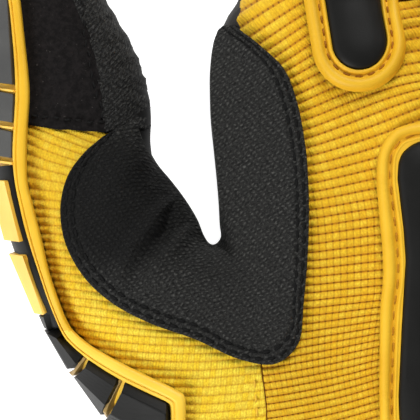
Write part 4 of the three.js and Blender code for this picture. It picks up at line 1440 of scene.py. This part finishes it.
for key, lp in pad_loops.items():
    prof = [(0.1, 1.0), (0.16, 3.0), (0.32, 3.4), (0.7, 3.75), (1.3, 3.95)]
    ob = mesh_object(f"knuckle_pad_{key}_face", *capped(plan_surface, lp, prof, 0.6, 1.5))
    finish_piece(ob, MAT["black"], [f"knuckle_pad_{key}"])
m = loop_normals(hand_edge)
g = hand_edge - m * (2.72 * 0.96 * inset_y)[:, None]
g = np.vstack([g, g[:1]])
p, n = plan_surface(g[:, 0], g[:, 1])
v, f = stitches(p + n * (1.95 + LIFT), n, 2.2, 0.9, 0.2, 0.05, 0.05)
finish_piece(mesh_object("knuckle_guard_stitches", v, f), MAT["pale_thread"])


# ----------------------------------------------------------------- thumb guard
def skin_at(angle, y):
    return thumb_surface(np.asarray(angle, float) * ARC, np.asarray(y, float))


def seen(points):
    """Skin angle and row whose given height shows at a plan point (x, y, h)."""
    q = np.asarray(points, float).reshape(-1, 3)
    x, y, h = q.T
    ang = np.clip(thumb_angle(x, y), 60, 172)
    yy = y.copy()
    for k in range(9):
        p, n = skin_at(ang, yy)
        p2, n2 = skin_at(ang + 0.5, yy)
        sx, sx2 = p[:, 0] + n[:, 0] * h, p2[:, 0] + n2[:, 0] * h
        slope = np.minimum((sx2 - sx) / 0.5, -0.06)
        ang = np.clip(ang + np.clip((x - sx) / slope, -12, 12) * (0.9 if k < 6 else 0.6), 50, 180)
        yy = yy + np.clip(y - (p[:, 1] + n[:, 1] * h), -1.5, 1.5) * 0.9
    return np.stack([ang, yy, h], -1)


def edge_spot(angle, y, h):
    """Skin row at one angle whose given height shows at plan row y."""
    yy = np.array([float(y)])
    for _ in range(8):
        p, n = skin_at(np.array([float(angle)]), yy)
        yy = yy + np.clip(y - (p[:, 1] + n[:, 1] * h), -1.5, 1.5) * 0.9
    return np.array([float(angle), yy[0], float(h)])


def outer_spot(x, y, angle):
    """Skin row and height at one angle that show at a plan point."""
    yy, h = np.array([float(y)]), 3.0
    for _ in range(12):
        p, n = skin_at(np.array([float(angle)]), yy)
        h = float(np.clip((x - p[0, 0]) / min(n[0, 0], -0.3), 1.6, 5.6))
        yy = yy + np.clip(y - (p[:, 1] + n[:, 1] * h), -1.5, 1.5) * 0.8
    return np.array([float(angle), yy[0], h])


def spot(c):
    if c[0] == "s":
        return outer_spot(*c[1:])
    return edge_spot(*c[1:]) if c[0] == "a" else seen([c])[0]


def raised(ayh):
    a = np.asarray(ayh, float)
    shape = a.shape[:-1]
    a = a.reshape(-1, 3)
    p, n = skin_at(a[:, 0], a[:, 1])
    return (p + n * a[:, 2:]).reshape(*shape, 3)


RIM_IN = [(-41.4, 60.6), (-40.2, 54.6), (-39.2, 48.6), (-38.6, 43.6), (-38, 38.6), (-37.5, 34.2), (-37.2, 29.6), (-37.54, 23),
          (-37.72, 18.6), (-37.72, 15.2), (-37.54, 11.8), (-36.4, 7.4), (-35.28, 3.2), (-34.24, -1.2), (-33.28, -5.4),
          (-31.4, -11.4), (-29.9, -15.4), (-28.9, -17.1), (-28, -18.1), (-25.28, -20.26), (-21.28, -22.54), (-17.28, -24.54),
          (-13, -26.54), (-9.28, -28.26), (-7, -29.5), (-6.1, -30.1), (-5.8, -31.4), (-5.8, -37.4), (-5.4, -45.4),
          (-4, -55.4), (-3, -63.4)]
RIM_OUT = [(-44.2, 60.6), (-43, 54.6), (-41.7, 48.6), (-41.1, 43.6), (-40.6, 38.6), (-40.3, 34.2), (-40.2, 29.6), (-40.5, 23),
           (-40.72, 18.6), (-40.6, 15.2), (-40.2, 11.8), (-39.3, 7.4), (-38.3, 3.2), (-37, -1.2), (-35.6, -5.4),
           (-33.64, -11.4), (-32.1, -15.4), (-31.1, -17.8), (-30, -19.6), (-27.1, -22.2), (-22.8, -25.1), (-18.7, -27.4),
           (-14.4, -29.4), (-10.8, -31), (-9.5, -31.64), (-9.04, -32.1), (-8.96, -32.8), (-8.9, -37.4), (-8.5, -45.4),
           (-7.1, -55.4), (-6.1, -63.4)]
# across: share of the width, height over the skin
RIM_ACROSS = [(0.0, 0.2), (0.0, 1.7), (0.015, 2.3), (0.045, 2.75), (0.09, 3.0), (0.3, 3.25), (0.5, 3.4), (0.60, 3.42), (0.635, 3.3),
              (0.665, 3.08), (0.70, 3.08), (0.73, 3.24), (0.78, 3.38), (0.87, 3.3), (0.93, 3.0), (0.965, 2.4), (0.975, 1.2)]


def thumb_rim():
    inn, out = even([spline(RIM_IN, 900), spline(RIM_OUT, 900)], 260)
    pts = []
    for t, h in RIM_ACROSS:
        q = inn + (out - inn) * t
        pts.append(np.column_stack([q, np.full(len(q), h)]))
    k, n = len(pts), len(inn)
    a = seen(np.concatenate(pts)).reshape(k, n, 3)
    P = raised(a)
    f = grid_faces(k, n).tolist() + [list(range(0, k * n, n)), list(range(n - 1, k * n, n))[::-1]]
    return (P.reshape(-1, 3), f), a


rim_mesh, rim_a = thumb_rim()
END_A = 207.0


def base_plate():
    """Yellow sheet under blocks and pads, from the rim round the side."""
    start = rim_a[9, :, :2]                         # under the rim's groove
    order = np.argsort(start[:, 1])
    ys = np.linspace(start[:, 1].min(), start[:, 1].max(), 90)
    a0 = np.interp(ys, start[order, 1], start[order, 0]) + 0.0
    rows = []
    for t, h in [(0.0, 1.3), (0.0, 1.75)] + [(t, 1.75) for t in np.linspace(0.02, 0.97, 26)] + [(0.985, 1.6), (1.0, 1.2), (1.0, 0.25)]:
        rows.append(np.column_stack([a0 + (END_A - a0) * t, ys, np.full(len(ys), h)]))
    P = raised(np.stack(rows))
    k, n = P.shape[:2]
    f = grid_faces(k, n).tolist()
    low = raised(np.stack([r * [1, 1, 0] + [0, 0, 0.2] for r in rows]))
    cap = []
    for e in (0, n - 1):
        v = np.concatenate([P[:, e], low[:, e]])
        q = [[i, i + 1, k + i + 1, k + i] for i in range(k - 1)]
        cap.append((v, q if e == 0 else [r[::-1] for r in q]))
    return join_parts([(P.reshape(-1, 3), f), *cap])


guard = mesh_object("thumb_guard_rim", *join_parts([rim_mesh, base_plate()]))
finish_piece(guard, [MAT["yellow"], MAT["yellow_painted_lit_lower"]], ["thumb_guard"])
# painted light: faces below y -17.6 take the lighter copy of the yellow rubber
low = [1 if p.center[1] * 1000 - MOVE[1] < -17.6 else 0 for p in guard.data.polygons]
guard.data.polygons.foreach_set("material_index", low)


def bevelled(name, verts, faces, width=0.28, segments=2):
    ob = mesh_object(name, verts, faces, smooth=False)
    bm = bmesh.new()
    bm.from_mesh(ob.data)
    bmesh.ops.remove_doubles(bm, verts=bm.verts, dist=0.000005)
    bmesh.ops.recalc_face_normals(bm, faces=bm.faces)
    edges = [e for e in bm.edges if len(e.link_faces) == 2 and e.calc_face_angle(0) > 0.22]
    bmesh.ops.bevel(bm, geom=edges, offset=width * 0.001, offset_type="OFFSET", segments=segments, profile=0.6,
                    affect="EDGES", clamp_overlap=True)
    bm.to_mesh(ob.data)
    bm.free()
    return ob


def block(name, levels, low=1.3, split=5):
    """Faceted block from pairs of corners, rim side first. A corner is
    (x, y, h) on the plan or ("a", angle, y, h) beyond the edge in view."""
    tops = []
    for pair in levels:
        row = []
        for c in pair:
            row.append(spot(c))
        tops.append(row)
    T = np.array(tops)
    B = T.copy()
    B[..., 2] = low
    fine = 5
    k = (len(levels) - 1) * fine + 1
    t, u = np.linspace(0, len(levels) - 1, k), np.linspace(0, 1, split)[None, :, None]

    def spread(q):
        i = np.minimum(t.astype(int), len(levels) - 2)
        w = (t - i)[:, None, None]
        q = q[i] * (1 - w) + q[i + 1] * w
        return q[:, :1] * (1 - u) + q[:, 1:] * u

    top_p, bot_p = spread(raised(T)), spread(raised(B))
    v = np.concatenate([top_p.reshape(-1, 3), bot_p.reshape(-1, 3)])
    n = k * split
    f = grid_faces(k, split).tolist()
    f += [[a + n for a in q][::-1] for q in grid_faces(k, split).tolist()]
    ring = list(range(split)) + [i * split + split - 1 for i in range(1, k)] + list(range(n - 2, n - split - 1, -1)) \
        + [i * split for i in range(k - 2, 0, -1)]
    for i in range(len(ring)):
        a, b = ring[i], ring[(i + 1) % len(ring)]
        f.append([a, a + n, b + n, b])
    return bevelled(name, v, f)


BLOCKS = {
    1: [((-42.1, 51.0, 3.0), (-43.3, 57, 3.0)), (("a", 156, 51.6, 4.3), ("a", 156, 57.6, 4.3)), (("a", 180, 52.0, 4.5), ("a", 180, 58, 4.5)), (("a", 205, 52.2, 3.6), ("a", 205, 58, 3.6))],
    2: [((-40.7, 31.8, 3.0), (-41.9, 49.6, 3.0)), (("a", 156, 32.6, 4.3), ("a", 156, 50.2, 4.3)), (("a", 180, 33.2, 4.5), ("a", 180, 50.6, 4.5)), (("a", 205, 33.4, 3.6), ("a", 205, 50.8, 3.6))],
    3: [((-40.7, 24.1, 3.0), (-40.5, 29.9, 3.0)), (("a", 156, 25.1, 4.3), ("a", 156, 31.0, 4.3)), (("a", 180, 25.4, 4.5), ("a", 180, 31.4, 4.5)), (("a", 205, 25.6, 3.6), ("a", 205, 31.6, 3.6))],
    4: [((-40.9, 17.0, 3.0), (-40.8, 22.3, 3.0)), (("a", 156, 17.8, 4.3), ("a", 156, 23.4, 4.3)), (("a", 180, 18.2, 4.5), ("a", 180, 23.8, 4.5)), (("a", 205, 18.4, 3.6), ("a", 205, 24.0, 3.6))],
    5: [((-26.7, -22.6, 2.9), (-31.2, -18.6, 2.9)), ((-27.9, -24.2, 4.4), (-31.9, -19.2, 4.4)), ((-29.6, -25.5, 4.6), (-33.9, -18.3, 4.6)), (("s", -30.2, -25.8, 178), ("s", -34.8, -17.9, 178)), (("a", 205, -26.0, 2.4), ("a", 205, -17.9, 2.4))],
    6: [((-19.5, -27.0, 2.9), (-25.4, -23.5, 2.9)), ((-20.1, -28.5, 4.5), (-26.0, -24.9, 4.5)), ((-22.1, -32.4, 4.7), (-28.0, -27.0, 4.7)), (("s", -23.3, -35.2, 178), ("s", -28.8, -27.5, 178)), (("a", 205, -35.6, 2.4), ("a", 205, -28.0, 2.4))],
    7: [((-9.6, -31.6, 2.9), (-18.0, -27.6, 2.9)), ((-9.7, -33.7, 4.5), (-18.7, -29.7, 4.5)), ((-9.7, -40.0, 4.6), (-21.1, -34.2, 4.6)), (("a", 150, -57.0, 4.2), ("s", -22.9, -36.8, 178)), (("a", 186, -60.0, 3.4), ("a", 205, -37.6, 2.4))],
}
for k, levels in BLOCKS.items():
    # blocks 1 to 4 in the grey copy of the black rubber: painted sheen
    finish_piece(block(f"thumb_block_{k}_face", levels), MAT["grey_painted_sheen"] if k < 5 else MAT["black"], [f"thumb_block_{k}"])

# black frame beside the rim, and the two yellow pads in it
FRAME_ROWS = [15.6, 12, 8, 4, 0, -2.2, -6, -10, -14, -17.2]
fin = np.array([(np.interp(y, [p[1] for p in RIM_OUT[::-1]], [p[0] for p in RIM_OUT[::-1]]) - 0.1, y, 2.9) for y in FRAME_ROWS])
fa = seen(fin)


def frame_plate():
    rows = []
    for t, h in [(0.0, 1.3), (0.0, 2.6), (0.06, 2.95), (0.25, 3.1), (0.45, 3.1), (0.65, 3.1), (0.85, 3.1), (0.97, 2.9), (1.0, 1.3)]:
        rows.append(np.column_stack([fa[:, 0] + (205.0 - fa[:, 0]) * t, fa[:, 1], np.full(len(fa), h)]))
    R = np.stack(rows)
    fine = np.stack([np.stack([np.interp(np.linspace(0, len(fa) - 1, 60), np.arange(len(fa)), r[:, k]) for k in range(3)], -1) for r in R])
    P = raised(fine)
    k, n = P.shape[:2]
    f = grid_faces(k, n).tolist() + [list(range(0, k * n, n)), list(range(n - 1, k * n, n))[::-1]]
    return P.reshape(-1, 3), f


ob = mesh_object("thumb_frame_face", *frame_plate())
finish_piece(ob, MAT["black"], ["thumb_frame"])
PADS = {
    1: [((-38.9, 0.4, 3.5), (-42.0, 12.2, 3.5)), ((-39.2, 0.2, 3.9), (-42.3, 12.4, 3.9)), (("a", 172, 0.5, 4.3), ("a", 172, 12.8, 4.3)), (("a", 200, 0.8, 3.9), ("a", 200, 12.8, 3.9))],
    2: [((-34.2, -14.2, 3.5), (-38.3, -2.9, 3.5)), ((-34.6, -14.5, 3.9), (-38.6, -2.6, 3.9)), (("a", 174, -14.4, 4.3), ("a", 172, -2.3, 4.3)), (("a", 200, -14.2, 3.8), ("a", 200, -2.2, 3.9))],
}
for k, levels in PADS.items():
    # the pads in the lighter copy of the yellow rubber: painted light
    finish_piece(block(f"thumb_pad_{k}_face", levels, 3.0, 7), [MAT["yellow_painted_lighter"]], [f"thumb_pad_{k}"])

FOOT = [((-32.4, -18.4, 2.9), (-33.2, -14.2, 2.9)), ((-33.9, -17.6, 4.0), (-34.6, -15.0, 4.0)), (("s", -34.8, -17.4, 177), ("s", -35.9, -14.9, 177)), (("a", 205, -17.6, 2.4), ("a", 205, -14.6, 2.4))]
finish_piece(block("thumb_frame_foot", FOOT), MAT["black"])

# thin ribs between the blocks, each with a small square tab outside
RIBS = [
    [((-41.8, 50.0, 3.6), (-41.9, 50.5, 3.6)), (("a", 170, 50.8, 4.5), ("a", 170, 51.3, 4.5)), (("a", 204, 51.2, 3.6), ("a", 204, 51.7, 3.6))],
    [((-40.4, 30.2, 3.6), (-40.5, 30.7, 3.6)), (("a", 170, 31.5, 4.5), ("a", 170, 32.0, 4.5)), (("a", 204, 32.0, 3.6), ("a", 204, 32.5, 3.6))],
    [((-40.5, 22.7, 3.6), (-40.5, 23.2, 3.6)), (("a", 170, 24.0, 4.5), ("a", 170, 24.5, 4.5)), (("a", 204, 24.4, 3.6), ("a", 204, 24.9, 3.6))],
    [((-40.7, 15.6, 3.6), (-40.7, 16.1, 3.6)), (("a", 170, 16.7, 4.5), ("a", 170, 17.2, 4.5)), (("a", 204, 17.0, 3.6), ("a", 204, 17.5, 3.6))],
    [((-26.0, -23.2, 2.8), (-26.4, -22.8, 2.8)), ((-28.2, -26.1, 3.6), (-28.6, -25.7, 3.6)), ((-28.7, -26.8, 3.9), (-29.3, -26.3, 3.9)), (("s", -29.1, -27.2, 177), ("s", -29.8, -26.5, 177)), (("a", 204, -27.4, 2.2), ("a", 204, -26.6, 2.2))],
    [((-18.7, -27.35, 2.8), (-19.15, -27.05, 2.8)), ((-21.5, -32.9, 3.6), (-21.95, -32.6, 3.6)), ((-21.9, -34.1, 4.2), (-22.6, -33.8, 4.2)), (("a", 183, -36.0, 3.0), ("a", 183, -35.2, 3.0)), (("a", 204, -36.4, 2.2), ("a", 204, -35.6, 2.2))],
]
for k, levels in enumerate(RIBS):
    # the upper thin ribs in the lighter copy of the yellow rubber: painted light
    finish_piece(block(f"thumb_guard_rib_{k + 1}", levels, 1.3, 2), MAT["tan"] if k > 3 else MAT["yellow_painted_lighter"])


# ---------------------------------------------------------------- stage, lights
def stage():
    me = bpy.data.meshes.new("floor")
    s = 3.0
    me.from_pydata([(-s, -s, -0.0004), (s, -s, -0.0004), (s, s, -0.0004), (-s, s, -0.0004)], [], [(0, 1, 2, 3)])
    ob = bpy.data.objects.new("floor", me)
    bpy.context.scene.collection.objects.link(ob)
    g = Graph("floor_white")
    g.surface((0.5, 0.5, 0.5, 1), 0.9, None, 0.1)
    g.b.inputs["Emission Color"].default_value = (1, 1, 1, 1)
    g.b.inputs["Emission Strength"].default_value = 0.96
    me.materials.append(g.m)
    world = bpy.data.worlds.new("studio")
    bpy.context.scene.world = world
    world.use_nodes = True
    t = world.node_tree
    t.nodes.clear()
    # a pale room, darker overhead than at the sides
    out, bg = t.nodes.new("ShaderNodeOutputWorld"), t.nodes.new("ShaderNodeBackground")
    tc, sep = t.nodes.new("ShaderNodeTexCoord"), t.nodes.new("ShaderNodeSeparateXYZ")
    mr = t.nodes.new("ShaderNodeMapRange")
    mr.inputs["From Min"].default_value, mr.inputs["From Max"].default_value = 0.35, 0.98
    mr.inputs["To Min"].default_value, mr.inputs["To Max"].default_value = WORLD
    t.links.new(tc.outputs["Generated"], sep.inputs[0])
    t.links.new(sep.outputs[2], mr.inputs["Value"])
    t.links.new(mr.outputs[0], bg.inputs[1])
    bg.inputs[0].default_value = (1.0, 1.0, 1.0, 1)
    t.links.new(bg.outputs[0], out.inputs[0])

    def area(name, at, aim, size, power, color=(1, 1, 1)):
        light = bpy.data.lights.new(name, "AREA")
        light.shape, light.size, light.energy, light.color = "DISK", size, power, color
        o = bpy.data.objects.new(name, light)
        bpy.context.scene.collection.objects.link(o)
        o.location = at
        d = Vector(aim) - Vector(at)
        o.rotation_euler = d.to_track_quat("-Z", "Y").to_euler()

    for row in LIGHTS:
        area(*row)


WORLD = (0.42, 0.10)
LIGHTS = [
    ("key", (0.18, 0.95, 0.80), (-0.03, 0.0, 0.02), 0.8, 12.0, (1.0, 0.995, 0.98)),
    ("left", (-0.95, 0.15, 0.60), (-0.03, 0.0, 0.02), 0.5, 1.8, (1.0, 1.0, 1.0)),
    ("low", (-0.60, -0.78, 0.60), (-0.03, 0.0, 0.02), 0.6, 10.0, (1.0, 0.995, 0.98)),
]
stage()

cam = bpy.data.cameras.new("camera")
cam.type, cam.lens, cam.sensor_width = "PERSP", 240.0, 36.0
cam.clip_start, cam.clip_end = 0.05, 20.0
camera = bpy.data.objects.new("camera", cam)
bpy.context.scene.collection.objects.link(camera)
# 84 mm across at the height of the fabric, looking straight down
camera.location = ((-1.0 + MOVE[0]) * 0.001, (6.6 + MOVE[1]) * 0.001, 0.027 + 0.560)
camera.rotation_euler = (0, 0, 0)
bpy.context.scene.camera = camera
bpy.context.scene.view_settings.view_transform = "Standard"
bpy.context.scene.view_settings.look = "None"
